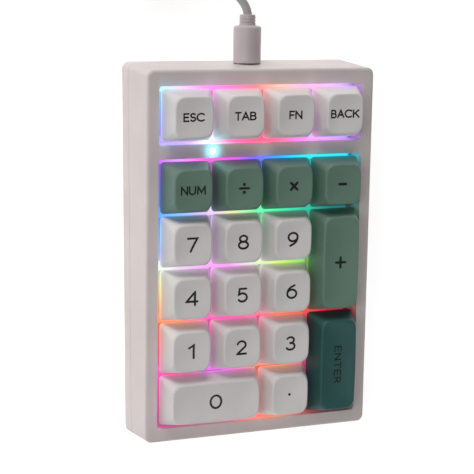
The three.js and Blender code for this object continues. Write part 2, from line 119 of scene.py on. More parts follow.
def column(index):
    return (index + 0.5 - COLUMNS / 2) * PITCH


def row(index):
    return BLOCK_REAR - (index + 0.5) * PITCH


FUNCTION_ROW = FUNCTION_FRONT + PITCH / 2
LENS_X = column(0.5)

# Each key: legend, deck x, deck y, width and length in key units, finish.
KEYS = {}
SIGN_NAMES = {"divide": "/", "multiply": "*", "minus": "-", "dot": "."}


def key_row(y, finish, names):
    for index, name in enumerate(names.split()):
        KEYS[name] = (SIGN_NAMES.get(name, name.upper()), column(index), y, 1, 1, finish)


key_row(FUNCTION_ROW, "white", "esc tab fn back")
key_row(row(0), "green", "num divide multiply minus")
key_row(row(1), "white", "7 8 9")
KEYS["plus"] = ("+", column(3), row(1.5), 1, 2, "green")
key_row(row(2), "white", "4 5 6")
key_row(row(3), "white", "1 2 3")
KEYS["enter"] = ("ENTER", column(3), row(3.5), 1, 2, "teal")
KEYS["0"] = ("0", column(0.5), row(4), 2, 1, "white")
KEYS["dot"] = (".", column(2), row(4), 1, 1, "white")
CAP_SLOTS = {"white": "keycap_white", "green": "keycap_green", "teal": "keycap_teal"}


def stabilisers(wide, long):
    """Where a key's stabilisers stand, from the middle of the key."""
    if wide > 1:
        return [(-STABILISER_SPREAD, 0), (STABILISER_SPREAD, 0)]
    if long > 1:
        return [(0, -STABILISER_SPREAD), (0, STABILISER_SPREAD)]
    return []


def key_frame(key, z):
    """The frame of what stands at the middle of a key, at a deck height."""
    return Matrix.Translation((KEYS[key][1], KEYS[key][2], z))


def facing(origin, axis):
    """The frame of a shape made upwards along Z that lies along an axis from an origin. Its x stays level."""
    return Matrix.Translation(origin) @ Vector(axis).to_track_quat("Z", "Y").to_matrix().to_4x4()


def add_object(name, data):
    made = bpy.data.objects.new(name, data)
    bpy.context.scene.collection.objects.link(made)
    return made


# ---- Camera ----
def make_camera():
    camera = add_object("camera", bpy.data.cameras.new("camera"))
    camera.data.lens = 116.4
    camera.data.sensor_width = 36
    camera.location = (-0.21186, 0.08255, 0.52440)
    camera.rotation_euler = [math.radians(a) for a in (-8.1144, -22.0859, 0.0616)]
    camera.data.clip_start, camera.data.clip_end = 0.01, 50
    bpy.context.scene.camera = camera


make_camera()
bpy.context.scene.view_settings.view_transform = "Standard"


# ---- The coloured light under the keys ----
def linear(word):
    """A colour written as six hexadecimal digits, as linear light."""
    values = [int(word[i : i + 2], 16) / 255 for i in (0, 2, 4)]
    return Vector([v / 12.92 if v <= 0.04045 else ((v + 0.055) / 1.055) ** 2.4 for v in values])


def colours(words):
    return [linear(word) for word in words.split()]


# The light where the rows of cells meet, from the rear down, each at every half cell from left to right.
BLOCK_GLOW = [
    colours("C070FF D090FF FF50D8 E848E0 7050FF 20A0FF 20E0FF 20E0F8 30D8FF"),
    colours("5090FF 60B8FF D8B8FF E8E0A0 60F0A0 30E0A0 20C0A0 108080 106870"),
    colours("D0F0D8 D8C8E8 F0A0F8 F090F0 D0E0D0 C8F060 70E060 30A050 106030"),
    colours("FF8850 FF9050 FF60B0 F850B0 FF60A0 FF7850 FF5030 D02040 B01838"),
    colours("F050C0 E04870 E070F0 E868E0 FF8070 FFA050 F050A0 701838 501028"),
    colours("903070 903060 904070 B05070 FF7060 D07030 A04040 501828 401020"),
]
FUNCTION_GLOW = [
    colours("A8E8FF D8C8FF FF80F0 FF78C8 FF7A7A FFC0A0 FFA8E0 D8B0FF CFA0FF"),
    colours("9090FF A090FF E8F0FF F060A8 FF5080 F86090 F080FF D080FF B070FF"),
]
# Down the left edge of a block of keys: how many cells from the rear edge, and the light there.
EDGE_GLOW = [(cells, linear(word)) for cells, word in (
    (0.0, "B050F0"), (0.6, "8078FF"), (1.0, "5090FF"), (1.4, "70D0FF"), (1.7, "7080FF"),
    (2.0, "D0F0D8"), (2.25, "F0F880"), (2.7, "FFB060"), (3.0, "FF8850"), (3.5, "FF5060"),
    (4.0, "F050C0"), (4.5, "C02080"), (5.0, "903070"),
)]
FUNCTION_EDGE_GLOW = [(0.0, linear("A8E8FF")), (0.45, linear("90B0FF")), (1.0, linear("9090FF"))]
LAMP_GLOW = linear("68F2FF")  # the indicator's light, painted on its neighbours


def between(steps, at):
    """The value at `at` of a list of (place, value), straight between its places."""
    for (low, first), (high, last) in zip(steps, steps[1:]):
        if at <= high:
            return first.lerp(last, max(0.0, (at - low) / (high - low)))
    return steps[-1][1]


def glow(x, y):
    """The light from below at a place on the deck."""
    across = (x + COLUMNS / 2 * PITCH) / (PITCH / 2)
    if y > DIVIDER_Y:
        down, lines, edge = (FUNCTION_REAR - y) / PITCH, FUNCTION_GLOW, FUNCTION_EDGE_GLOW
    else:
        down, lines, edge = (BLOCK_REAR - y) / PITCH, BLOCK_GLOW, EDGE_GLOW
    middle = between([(i, between(list(enumerate(line)), across)) for i, line in enumerate(lines)], down)
    return between(edge, down).lerp(middle, min(1.0, max(0.0, across / 0.5)))


def shine(x, y):
    """That light with painted shade: weaker halfway along a gap between columns, and beside the right column.
    """
    down = (FUNCTION_REAR - y if y > DIVIDER_Y else BLOCK_REAR - y) / PITCH
    if x > 1.95 * PITCH:
        return glow(x, y) * 0.12
    if x > 1.7 * PITCH:
        least = 0.2
    elif abs(x) < 1.5 * PITCH:
        least = 0.35
    else:
        least = 1.0
    return glow(x, y) * (least + (1 - least) * math.cos(math.pi * down) ** 4)


def lamp_glow(x, y, reach):
    """The indicator's light at a place on the deck."""
    distance = math.hypot(x - LENS_X, y - DIVIDER_Y)
    return LAMP_GLOW * math.exp(-((distance / reach) ** 2))


def lit_by(light, strength=1.0):
    """For a piece's `glow_of`: the light from below, `glow` or `shine`, at some strength, painted into the
    piece as light it gives off.
    """
    return lambda p: light(p.x, p.y) * strength


def unlit(p):
    return (0.0, 0.0, 0.0)


def smooth(share):
    """An even start and end for a change that goes from 0 to 1."""
    return share * share * (3 - 2 * share)


# ---- Mesh tools ----
def outline(width, length, radius, corner=8, side=1, bulge=0.0):
    """Points of a rectangle with round corners, anticlockwise, its sides bowed out by `bulge`."""
    arcs = []
    for quarter, (right, rear) in enumerate(((1, 1), (-1, 1), (-1, -1), (1, -1))):
        turns = [(quarter + i / corner) * math.pi / 2 for i in range(corner + 1)]
        arcs.append([
            Vector((right * (width / 2 - radius) + radius * math.cos(a),
                    rear * (length / 2 - radius) + radius * math.sin(a)))
            for a in turns
        ])
    points = []
    for arc, following in zip(arcs, arcs[1:] + arcs[:1]):
        points += arc
        points += [arc[-1].lerp(following[0], i / side) for i in range(1, side)]
    half_width, half_length = width / 2, length / 2
    return [
        Vector((p.x * (1 + bulge / half_width * (1 - (p.y / half_length) ** 2)),
                p.y * (1 + bulge / half_length * (1 - (p.x / half_width) ** 2))))
        for p in points
    ]


def circle(radius, sides):
    turns = [2 * math.pi * i / sides for i in range(sides)]
    return [Vector((radius * math.cos(a), radius * math.sin(a))) for a in turns]


def at(points, z, x=0.0, y=0.0):
    return [Vector((p.x + x, p.y + y, z)) for p in points]


def sections(corner, stations):
    """Rings of rectangles with round corners: width, length, corner radius and height."""
    return [at(outline(width, length, radius, corner), z) for width, length, radius, z in stations]


def set_glow(mesh, glow_of, millimetre=1.0):
    """Stores the light at each point of a mesh. `millimetre` is how long one is in the mesh."""
    values = [c for v in mesh.vertices for c in (*glow_of(v.co / millimetre), 1.0)]
    mesh.attributes["glow"].data.foreach_set("color", values)


class Solid:
    """The points, in millimetres, and faces of a piece, before it becomes a mesh."""

    def __init__(self, frame=Matrix.Identity(4)):
        self.points, self.faces = [], []
        self.frame = frame  # where what is added next goes

    def ring(self, points):
        start = len(self.points)
        self.points += [self.frame @ p for p in points]
        return list(range(start, len(self.points)))

    def bridge(self, first, last):
        for i in range(len(first)):
            j = (i + 1) % len(first)
            self.faces.append((first[i], first[j], last[j], last[i]))

    def loft(self, rings, start=True, end=True, joined=False):
        """A skin through rings of equally many points. Its ends are closed, open, or joined to each other."""
        loops = [self.ring(r) for r in rings]
        for first, last in zip(loops, loops[1:]):
            self.bridge(first, last)
        if joined:
            self.bridge(loops[-1], loops[0])
        else:
            if start:
                self.faces.append(tuple(loops[0]))
            if end:
                self.faces.append(tuple(loops[-1]))
        return loops

    def fill(self, loops):
        """Closes the flat region inside the first loop of point numbers and outside the others."""
        numbers = [n for loop in loops for n in loop]
        for face in tessellate_polygon([[self.points[n] for n in loop] for loop in loops]):
            self.faces.append(tuple(numbers[i] for i in face))

    def block(self, width, length, low, high, x=0.0, y=0.0, radius=0.3, edge=0.15):
        """An upright box with rounded corners and softened ends."""
        rings = []
        for inset, z in ((edge, low), (0, low + edge), (0, high - edge), (edge, high)):
            shape = outline(width - 2 * inset, length - 2 * inset, max(radius - inset, 0.05), corner=3)
            rings.append(at(shape, z, x, y))
        self.loft(rings)

    def turned(self, profile, sides):
        """A solid of revolution from (radius, height) pairs, upwards along its outside."""
        self.loft([at(circle(r, sides), z) for r, z in profile])

    def tube(self, path, radius, sides):
        """A round bar along a path that is nowhere upright."""
        rings = []
        for i, p in enumerate(path):
            ahead = (path[min(i + 1, len(path) - 1)] - path[max(i - 1, 0)]).normalized()
            sideways = ahead.cross(Vector((0, 0, 1))).normalized()
            upwards = sideways.cross(ahead)
            rings.append([p + sideways * c.x + upwards * c.y for c in circle(radius, sides)])
        self.loft(rings)

    def mesh(self, name, cuts=()):
        """The mesh, in millimetres, with its normals outwards. `cuts` are planes that divide its faces."""
        mesh = bpy.data.meshes.new(name)
        mesh.from_pydata(self.points, [], self.faces)
        work = bmesh.new()
        work.from_mesh(mesh)
        for place, normal in cuts:
            everything = work.verts[:] + work.edges[:] + work.faces[:]
            bmesh.ops.bisect_plane(work, geom=everything, plane_co=place, plane_no=normal)
        bmesh.ops.recalc_face_normals(work, faces=work.faces)
        work.to_mesh(mesh)
        work.free()
        return mesh

    def piece(self, name, material, body, slot, replaces=None, on_deck=True, glow_of=None, sharp=35, cuts=()):
        """Makes the piece, in the model's frame. It rides on a body, unless that is None."""
        mesh = self.mesh(name, cuts)
        if glow_of:
            mesh.attributes.new("glow", "FLOAT_COLOR", "POINT")
            set_glow(mesh, glow_of)
        mesh.transform(Matrix.Scale(MM, 4) @ (DECK if on_deck else Matrix.Identity(4)))
        mesh.shade_smooth()
        mesh.set_sharp_from_angle(angle=math.radians(sharp))
        mesh.materials.append(material)
        made = add_object(name, mesh)
        made.modifiers.new("flat faces", "WEIGHTED_NORMAL").keep_sharp = True
        if body:
            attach(made, body)
        if replaces:
            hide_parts(replaces)
        return made


# ---- Materials ----
class Finish:
    """A Principled material whose pattern is made of noise in the model's own space."""

    def __init__(self, name, roughness, metallic=0.0, **sockets):
        self.material = bpy.data.materials.new(name)
        self.material.use_nodes = True
        self.nodes = self.material.node_tree.nodes
        self.links = self.material.node_tree.links
        self.shader = self.nodes["Principled BSDF"]
        self.shader.inputs["Roughness"].default_value = roughness
        self.shader.inputs["Metallic"].default_value = metallic
        for socket, value in sockets.items():
            self.shader.inputs[socket.replace("_", " ")].default_value = value
        self.place = self.nodes.new("ShaderNodeTexCoord").outputs["Object"]

    def noise(self, scale, detail=3.0, stretch=None):
        texture = self.nodes.new("ShaderNodeTexNoise")
        texture.inputs["Scale"].default_value = scale
        texture.inputs["Detail"].default_value = detail
        place = self.place
        if stretch:
            mapping = self.nodes.new("ShaderNodeMapping")
            mapping.inputs["Scale"].default_value = stretch
            self.links.new(place, mapping.inputs["Vector"])
            place = mapping.outputs["Vector"]
        self.links.new(place, texture.inputs["Vector"])
        return texture.outputs["Fac"]

    def mottle(self, dark, light, scale):
        """The base colour drifts between two close colours."""
        ramp = self.nodes.new("ShaderNodeValToRGB")
        for element, place, colour in zip(ramp.color_ramp.elements, (0.35, 0.65), (dark, light)):
            element.position, element.color = place, (*colour, 1.0)
        self.links.new(self.noise(scale), ramp.inputs["Fac"])
        self.links.new(ramp.outputs["Color"], self.shader.inputs["Base Color"])
        return self

    def uneven_gloss(self, low, high, scale):
        spread = self.nodes.new("ShaderNodeMapRange")
        spread.inputs["To Min"].default_value = low
        spread.inputs["To Max"].default_value = high
        self.links.new(self.noise(scale), spread.inputs["Value"])
        self.links.new(spread.outputs["Result"], self.shader.inputs["Roughness"])
        return self

    def grain(self, scale, height, detail=4.0, stretch=None):
        """A fine relief, `height` metres deep."""
        bump = self.nodes.new("ShaderNodeBump")
        bump.inputs["Distance"].default_value = height
        bump.inputs["Strength"].default_value = 1.0
        self.links.new(self.noise(scale, detail, stretch), bump.inputs["Height"])
        self.links.new(bump.outputs["Normal"], self.shader.inputs["Normal"])
        return self

    def lit(self, strength):
        """The surface gives off the colour in its `glow` attribute: painted light, on the lamps and also on
        parts that are no lamps.
        """
        light = self.nodes.new("ShaderNodeAttribute")
        light.attribute_name = "glow"
        self.links.new(light.outputs["Color"], self.shader.inputs["Emission Color"])
        self.shader.inputs["Emission Strength"].default_value = strength
        return self


def shades(word, spread=0.03):
    """Two close shades around a colour, darker and lighter."""
    colour = linear(word)
    return tuple(colour * (1 - spread)), tuple(colour * (1 + spread))


def plastic(name, word, roughness, grain_height=6e-6, grain_scale=2600, glowing=0.0):
    finish = Finish(name, roughness).mottle(*shades(word), scale=60)
    finish.uneven_gloss(roughness - 0.05, roughness + 0.05, 900).grain(grain_scale, grain_height)
    if glowing:
        finish.lit(glowing)
    return finish.material


# The case, caps, plate and switch housings give off painted light from below; only the lamps and the
# indicator are lamps.
CASE = plastic("case_plastic", "D9D0CE", 0.45, 5e-6, 2200, glowing=1.0)
CAP_COLOURS = {"white": "E6E4E3", "green": "6C8B7C", "teal": "285A57"}
CAPS = {key: plastic("cap_" + key, word, 0.5, 7e-6, 3000, glowing=1.0)
        for key, word in CAP_COLOURS.items()}
INK = plastic("legend_ink", "0A1412", 0.5, 2e-6, 3000)
PLATE = plastic("plate_powder_coat", "7C7C80", 0.45, 8e-6, 1800, glowing=1.2)
HOUSING = plastic("switch_housing", "A0A4AA", 0.3, 2e-6, 1500, glowing=0.5)
STEM = plastic("switch_stem", "E8C63A", 0.3, 2e-6, 1500)
BOARD = plastic("solder_mask", "DADEDA", 0.35, 4e-6, 1200)
CHIP = plastic("chip_resin", "202224", 0.5, 4e-6, 4000)
FOAM = Finish("foam", 0.95).mottle(*shades("303032", 0.2), 1800).grain(2500, 1.2e-4, 6.0).material
RUBBER = plastic("foot_rubber", "5E5C5C", 0.85, 1.5e-5, 2000)
CABLE = plastic("cable_jacket", "B4B0B1", 0.42, 6e-6, 1600)
GRIP = plastic("plug_grip", "C8BEC1", 0.38, 4e-6, 2400)
LAMP_BODY = plastic("lamp_window", "F4F6F8", 0.2, 1e-6, 1500, glowing=3.0)
INDICATOR = plastic("indicator_lens", "D8F4F6", 0.15, 1e-6, 1500, glowing=9.0)
CONNECTOR_BODY = plastic("connector_insert", "E8E8EA", 0.4, 4e-6, 2400)


def metal(name, word, roughness, stretch=None):
    finish = Finish(name, roughness, metallic=1.0).mottle(*shades(word, 0.05), scale=300)
    finish.uneven_gloss(roughness - 0.08, roughness + 0.08, 700).grain(1500, 2e-6, 3.0, stretch)
    return finish.material


STEEL = metal("nickel_steel", "C8C8C6", 0.28)
DRAWN = metal("plug_steel", "CDCDCE", 0.24, stretch=(6, 1, 1))
GOLD = metal("gold_contact", "E8C070", 0.25)


# ---- The cable: its lead, its stored coil and its two plugs ----
# The route of the lead, from just inside the plug's collar down to the floor.
LEAD_ROUTE = [
    (0.17, 83.85, 12.37), (0, 84.55, 12.35), (-0.35, 86.0, 12.3), (-1.3, 88.0, 12.05), (-2.95, 90.4, 11.4),
    (-4.8, 93.4, 10.1), (-6.0, 97.0, 8.1), (-6.3, 101.0, 5.7), (-6.1, 105.0, 3.6), (-5.7, 109.0, 2.2),
    (-5.45, 112.5, 1.65),
]
COIL_CENTRE = Vector((-28, 127))
COIL_INNER, COIL_OUTER, COIL_LAYERS = 11.9, 22.33, 4
TURN_PITCH = 3.15
TURN_POINTS = 24
LAYER_TURNS = 3.3125
STEP_UP = 1 / 6  # the last part of a layer, over which the cable climbs to the next one
TIE_POINT = 17  # the point of each turn at which the tie holds the coil
TIE_WIDTH, TIE_THICKNESS = 4.0, 0.5
TIE_LIFT = 0.55  # how far the turns rise over the tie
LIFT_POINTS = 4  # how many points to either side of it they have come down again
TIE_SIDES = 72
LOOSE_END = range(4, 25)  # the sides of the tie that its loose end covers
LEAD_TO_COIL = [(-5.45, 117.0, 1.55), (-5.5, 122.0, 1.55)]
TAIL_ROUTE = [
    (-33.0, 150.2, 10.6), (-37.5, 151.3, 8.9), (-42.0, 151.9, 6.3), (-46.0, 152.0, 4.5), (-50.2, 152.0, 4.0),
]


def coil_points():
    """The wound cable, layer on layer, in and out in turn."""
    points = []
    for i in range(1, round(COIL_LAYERS * LAYER_TURNS * TURN_POINTS) + 1):
        turn = i / TURN_POINTS
        layer = min(int(turn / LAYER_TURNS), COIL_LAYERS - 1)
        within = turn - layer * LAYER_TURNS
        inward = min(within / (LAYER_TURNS - STEP_UP), 1.0)
        share = inward if layer % 2 == 0 else 1 - inward
        radius = COIL_OUTER - share * (COIL_OUTER - COIL_INNER)
        climb = max(0.0, (within - LAYER_TURNS) / STEP_UP + 1) if layer < COIL_LAYERS - 1 else 0.0
        away = abs(i % TURN_POINTS - TIE_POINT)
        lift = min(1.0, max(0.0, (LIFT_POINTS - min(away, TURN_POINTS - away)) / (LIFT_POINTS - 1)))
        height = CABLE_DIAMETER / 2 + (layer + smooth(climb)) * TURN_PITCH + TIE_LIFT * smooth(lift)
        angle = 2 * math.pi * turn
        points.append((
            COIL_CENTRE.x + radius * math.cos(angle), COIL_CENTRE.y + radius * math.sin(angle), height,
        ))
    return points


def cable():
    points = LEAD_ROUTE + LEAD_TO_COIL + coil_points() + TAIL_ROUTE
    curve = bpy.data.curves.new("cable", "CURVE")
    curve.dimensions = "3D"
    curve.bevel_depth = CABLE_DIAMETER / 2 * MM
    curve.bevel_resolution = 4
    curve.resolution_u = 3
    curve.use_fill_caps = True
    spline = curve.splines.new("BEZIER")
    spline.bezier_points.add(len(points) - 1)
    for knot, point in zip(spline.bezier_points, points):
        knot.co = Vector(point) * MM
        knot.handle_left_type = knot.handle_right_type = "AUTO"
    curve.materials.append(CABLE)
    made = add_object("cable", curve)
    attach(made, "cable")
    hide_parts("cable_lead", "cable_coil")
    return made


def coil_tie():
    """The strap around the turns at one side of the coil, with its loose end lying over it."""
    angle = 2 * math.pi * TIE_POINT / TURN_POINTS
    outwards = Vector((math.cos(angle), math.sin(angle), 0))
    across = Vector((-outwards.y, outwards.x, 0))
    centre = COIL_CENTRE.to_3d()
    strands = [Vector(p) - centre for i, p in enumerate(coil_points(), 1) if i % TURN_POINTS == TIE_POINT]
    reach = CABLE_DIAMETER / 2 + TIE_THICKNESS / 2 + 0.02

    def ring(i, out=0.0):
        angle = 2 * math.pi * i / TIE_SIDES
        way = outwards * math.cos(angle) + Vector((0, 0, math.sin(angle)))
        place = centre + max(strands, key=way.dot) + way * (reach + out)
        return [place + across * p.x + way * p.y for p in outline(TIE_WIDTH, TIE_THICKNESS, 0.15, 2)]

    tie = Solid()
    tie.loft([ring(i) for i in range(TIE_SIDES)], joined=True)
    tie.loft([ring(i, TIE_THICKNESS) for i in LOOSE_END])
    return tie.piece("cable_tie", RUBBER, "cable", "rubber", on_deck=False)


SOCKET_DROP = 16.3  # from the bezel down to the axis of the USB socket
PLUG_FACE = LENGTH / 2 + 1.2
GRIP_RADIUS, GRIP_LENGTH = 5.0, 13.1
COLLAR_RADIUS, COLLAR_LENGTH = 2.95, 3.9
REARWARDS = (0, 1, 0)
USB_A_LENGTH = 27.0
USB_A_FRAME = facing((-50, 152, 4), (-1, 0, 0))


def usb_c_grip():
    """The moulded grip: a barrel, then a ribbed collar around the cable."""
    end = GRIP_LENGTH + COLLAR_LENGTH
    profile = [
        (4.8, -0.15), (4.95, -0.1), (GRIP_RADIUS, 0.05), (GRIP_RADIUS, 12.1), (4.93, 12.5), (4.7, 12.85),
        (4.3, 13.05), (3.9, GRIP_LENGTH), (3.2, 13.15), (2.95, 13.3),
    ]
    for rib in (13.5, 14.6, 15.7):
        profile += [(COLLAR_RADIUS, rib), (COLLAR_RADIUS, rib + 0.55), (2.72, rib + 0.7), (2.72, rib + 0.95)]
    profile += [(COLLAR_RADIUS, end - 0.25), (2.85, end - 0.08), (2.6, end), (1.58, end)]
    grip = Solid(facing((0, PLUG_FACE, -SOCKET_DROP), REARWARDS))
    grip.turned(profile, 48)
    return grip.piece("usb_c_grip", GRIP, "cable", "cable_plastic", "usb_c_overmould")


def usb_c_tip():
    """The plug's metal shell, open at its end."""
    length = 6.5
    tip = Solid(facing((0, PLUG_FACE - 0.05, -SOCKET_DROP), (0, -1, 0)))
    tip.loft([
        at(outline(width, height, height / 2 - 0.001), z)
        for width, height, z in (
            (8.25, 2.4, 0.0), (8.25, 2.4, length - 0.25), (8.05, 2.2, length - 0.04), (7.85, 2.0, length),
            (7.65, 1.8, length - 0.1), (7.65, 1.8, 0.8),
        )
    ])
    return tip.piece("usb_c_shell", DRAWN, "cable", "plug_metal", "usb_c_plug_shell")


def usb_a_grip():
    """The computer end's grip: a ribbed nose, then a flat body, with the connector's insert and contacts."""
    grip, insert, contacts = Solid(USB_A_FRAME), Solid(USB_A_FRAME), Solid(USB_A_FRAME)
    grip.loft(sections(6, (
        (5.0, 5.0, 2.49, 0.0), (5.4, 5.4, 2.6, 0.3), (5.5, 5.5, 2.6, 1.6), (5.0, 5.0, 2.4, 1.8),
        (5.0, 5.0, 2.4, 2.4), (5.6, 5.6, 2.7, 2.6), (5.8, 5.8, 2.7, 3.9), (5.3, 5.3, 2.5, 4.1),
        (5.3, 5.3, 2.5, 4.7), (6.2, 6.2, 2.8, 5.0), (7.0, 6.4, 2.8, 5.6), (11.0, 7.0, 2.4, 6.1),
        (14.2, 7.5, 1.9, 6.8), (15.2, 7.75, 1.8, 7.7), (15.4, 7.8, 1.8, 9.0), (15.4, 7.8, 1.8, 26.0),
        (15.2, 7.6, 1.7, 26.6), (14.7, 7.1, 1.5, 26.95), (14.4, 6.8, 1.4, USB_A_LENGTH),
        (12.7, 5.2, 0.8, USB_A_LENGTH), (12.7, 5.2, 0.8, USB_A_LENGTH - 1.5),
    )))
    made = grip.piece("usb_a_grip", GRIP, "cable", "cable_plastic", "usb_a_overmould", on_deck=False)
    insert.loft([at(outline(10.8, 1.9, 0.2, 2), z, 0, -0.8) for z in (25.8, 38.2)])
    insert.piece("usb_a_insert", CONNECTOR_BODY, "cable", "cable_plastic", on_deck=False)
    for x in (-3.5, -1.0, 1.0, 3.5):
        contacts.loft([at(outline(1.0, 0.16, 0.05, 2), z, x, 0.2) for z in (29.0, 37.6)])
    contacts.piece("usb_a_contacts", GOLD, "cable", "plug_metal", on_deck=False)
    return made


def usb_a_shell():
    """The bent sheet-metal shell."""
    shell = Solid(USB_A_FRAME)
    inner = USB_A_LENGTH - 1.15
    shell.loft(sections(4, (
        (12.0, 4.5, 0.5, inner), (12.0, 4.5, 0.5, 38.7), (11.8, 4.3, 0.45, 38.95), (11.6, 4.1, 0.4, 39.0),
        (11.4, 3.9, 0.3, 38.9), (11.4, 3.9, 0.3, inner),
    )), joined=True)
    return shell.piece("usb_a_metal", DRAWN, "cable", "plug_metal", "usb_a_shell", on_deck=False)


# ---- Keycaps ----
# The outside of a cap from its skirt up to its rim: inset, height, corner radius, bow of the sides.
CAP_SKIN = [
    (0.15, 0.0, 1.2, 0.0), (0.02, 0.12, 1.3, 0.0), (0.0, 0.35, 1.3, 0.0), (0.1, 0.75, 1.35, 0.0),
    (0.2, 1.15, 1.4, 0.01), (0.3, 1.5, 1.45, 0.02), (0.45, 2.1, 1.5, 0.03), (0.7, 3.0, 1.7, 0.06),
    (1.2, 5.0, 2.1, 0.13), (1.7, 7.0, 2.5, 0.21), (2.02, 8.25, 2.8, 0.27), (2.18, 8.68, 2.9, 0.29),
    (2.38, 8.95, 3.0, 0.31), (2.56, 9.07, 3.1, 0.32), (2.7, CAP_HEIGHT, 3.15, 0.32),
]
RIM = 2.7  # how far a cap's rim is in from its skirt
HALF_TOP = CAP_BASE / 2 - RIM
LEAN = 0.05  # how much more the left and right sides lean in than the front and rear
# Its hollow, from the skirt up: inset, height, corner radius.
CAP_HOLLOW = [
    (0.95, 0.0, 0.9), (1.08, 0.12, 0.8), (1.12, 1.0, 0.85), (1.7, 4.2, 1.2), (2.35, 6.2, 1.4),
    (2.9, 7.0, 1.5), (3.6, 7.3, 1.4),
]
DISH_RINGS = (0.06, 0.14, 0.24, 0.38, 0.54, 0.7, 0.85, 0.96)  # shares of the way from rim to middle
DISH_DEPTH = 0.75
SIDE_STEPS = 7


def dish(key, x, y):
    """Height of a cap's hollowed top above its skirt, at a place seen from the middle of the key."""
    _, _, _, wide, long, _ = KEYS[key]
    across = max(0.0, abs(x) - (wide - 1) * PITCH / 2) / HALF_TOP
    down = max(0.0, abs(y) - (long - 1) * PITCH / 2) / HALF_TOP
    return CAP_HEIGHT - DISH_DEPTH * (1 - min(1.0, across) ** 2) * (1 - min(1.0, down) ** 2)


def cross_outline(span, thickness):
    """The plus-shaped outline of a stem or its socket, with a point in the middle of each edge."""
    a, b = span / 2, thickness / 2
    arm = [Vector(p) for p in ((a, -b), (a, 0), (a, b), ((a + b) / 2, b), (b, b), (b, (a + b) / 2))]
    turns = [Matrix.Rotation(quarter * math.pi / 2, 2) for quarter in range(4)]
    return [turn @ p for turn in turns for p in arm]


def keycap(key):
    _, _, _, wide, long, finish = KEYS[key]
    width, length = CAP_BASE + (wide - 1) * PITCH, CAP_BASE + (long - 1) * PITCH

    def shape(inset, radius, bulge=0.0):
        across, down = 2 * inset * (1 + LEAN), 2 * inset * (1 - LEAN)
        return outline(width - across, length - down, radius, 7, SIDE_STEPS, bulge)

    cap = Solid(key_frame(key, CAP_BOTTOM))
    rings = [at(shape(inset, radius), z) for inset, z, radius in reversed(CAP_HOLLOW)]
    rings += [at(shape(inset, radius, bulge), z) for inset, z, radius, bulge in CAP_SKIN]
    _, _, radius, bulge = CAP_SKIN[-1]
    for share in DISH_RINGS:
        flat = shape(RIM + share * HALF_TOP, max(0.12, radius * (1 - share)), bulge * (1 - share))
        rings.append([Vector((p.x, p.y, dish(key, p.x, p.y))) for p in flat])
    cap.loft(rings)
    for x, y in [(0, 0)] + stabilisers(wide, long):
        socket = cross_outline(4.2, 1.4)
        post = [p.normalized() * 2.75 for p in socket]
        narrow = [p.normalized() * 2.6 for p in socket]
        cap.loft([
            at(socket, 4.6, x, y), at(socket, 0.75, x, y), at([p * 1.05 for p in socket], 0.6, x, y),
            at(narrow, 0.6, x, y), at(post, 0.75, x, y), at(post, 7.35, x, y),
        ])
    reflects = linear(CAP_COLOURS[finish])

    def spill(p):
        """Painted light: what the cap throws back of the light under the keys and from the indicator, most at
        its skirt, fainter higher up, none at its top.
        """
        height = p.z - CAP_BOTTOM
        # painted light further up the skirt, fainter on the outer skirts of the left column
        glow_higher_up = 0.05 if p.x < -1.9 * PITCH else 0.2
        near = 0.65 * math.exp(-((height / 0.75) ** 2)) + glow_higher_up * math.exp(-((height / 4.2) ** 2))
        light = shine(p.x, p.y) * near + lamp_glow(p.x, p.y, 3.8) * 1.3
        return [a * b for a, b in zip(light, reflects)]

    cap.piece("keycap_" + key + "_shell", CAPS[finish], "key_" + key, CAP_SLOTS[finish], "keycap_" + key,
              glow_of=spill, sharp=50)


# ---- Legends ----
def arc(x, y, across, up, start, end, steps=18):
    """Part of an ellipse around (x, y), from one angle to another, in degrees."""
    turns = [math.radians(start + (end - start) * i / steps) for i in range(steps + 1)]
    return [(x + across * math.cos(a), y + up * math.sin(a)) for a in turns]


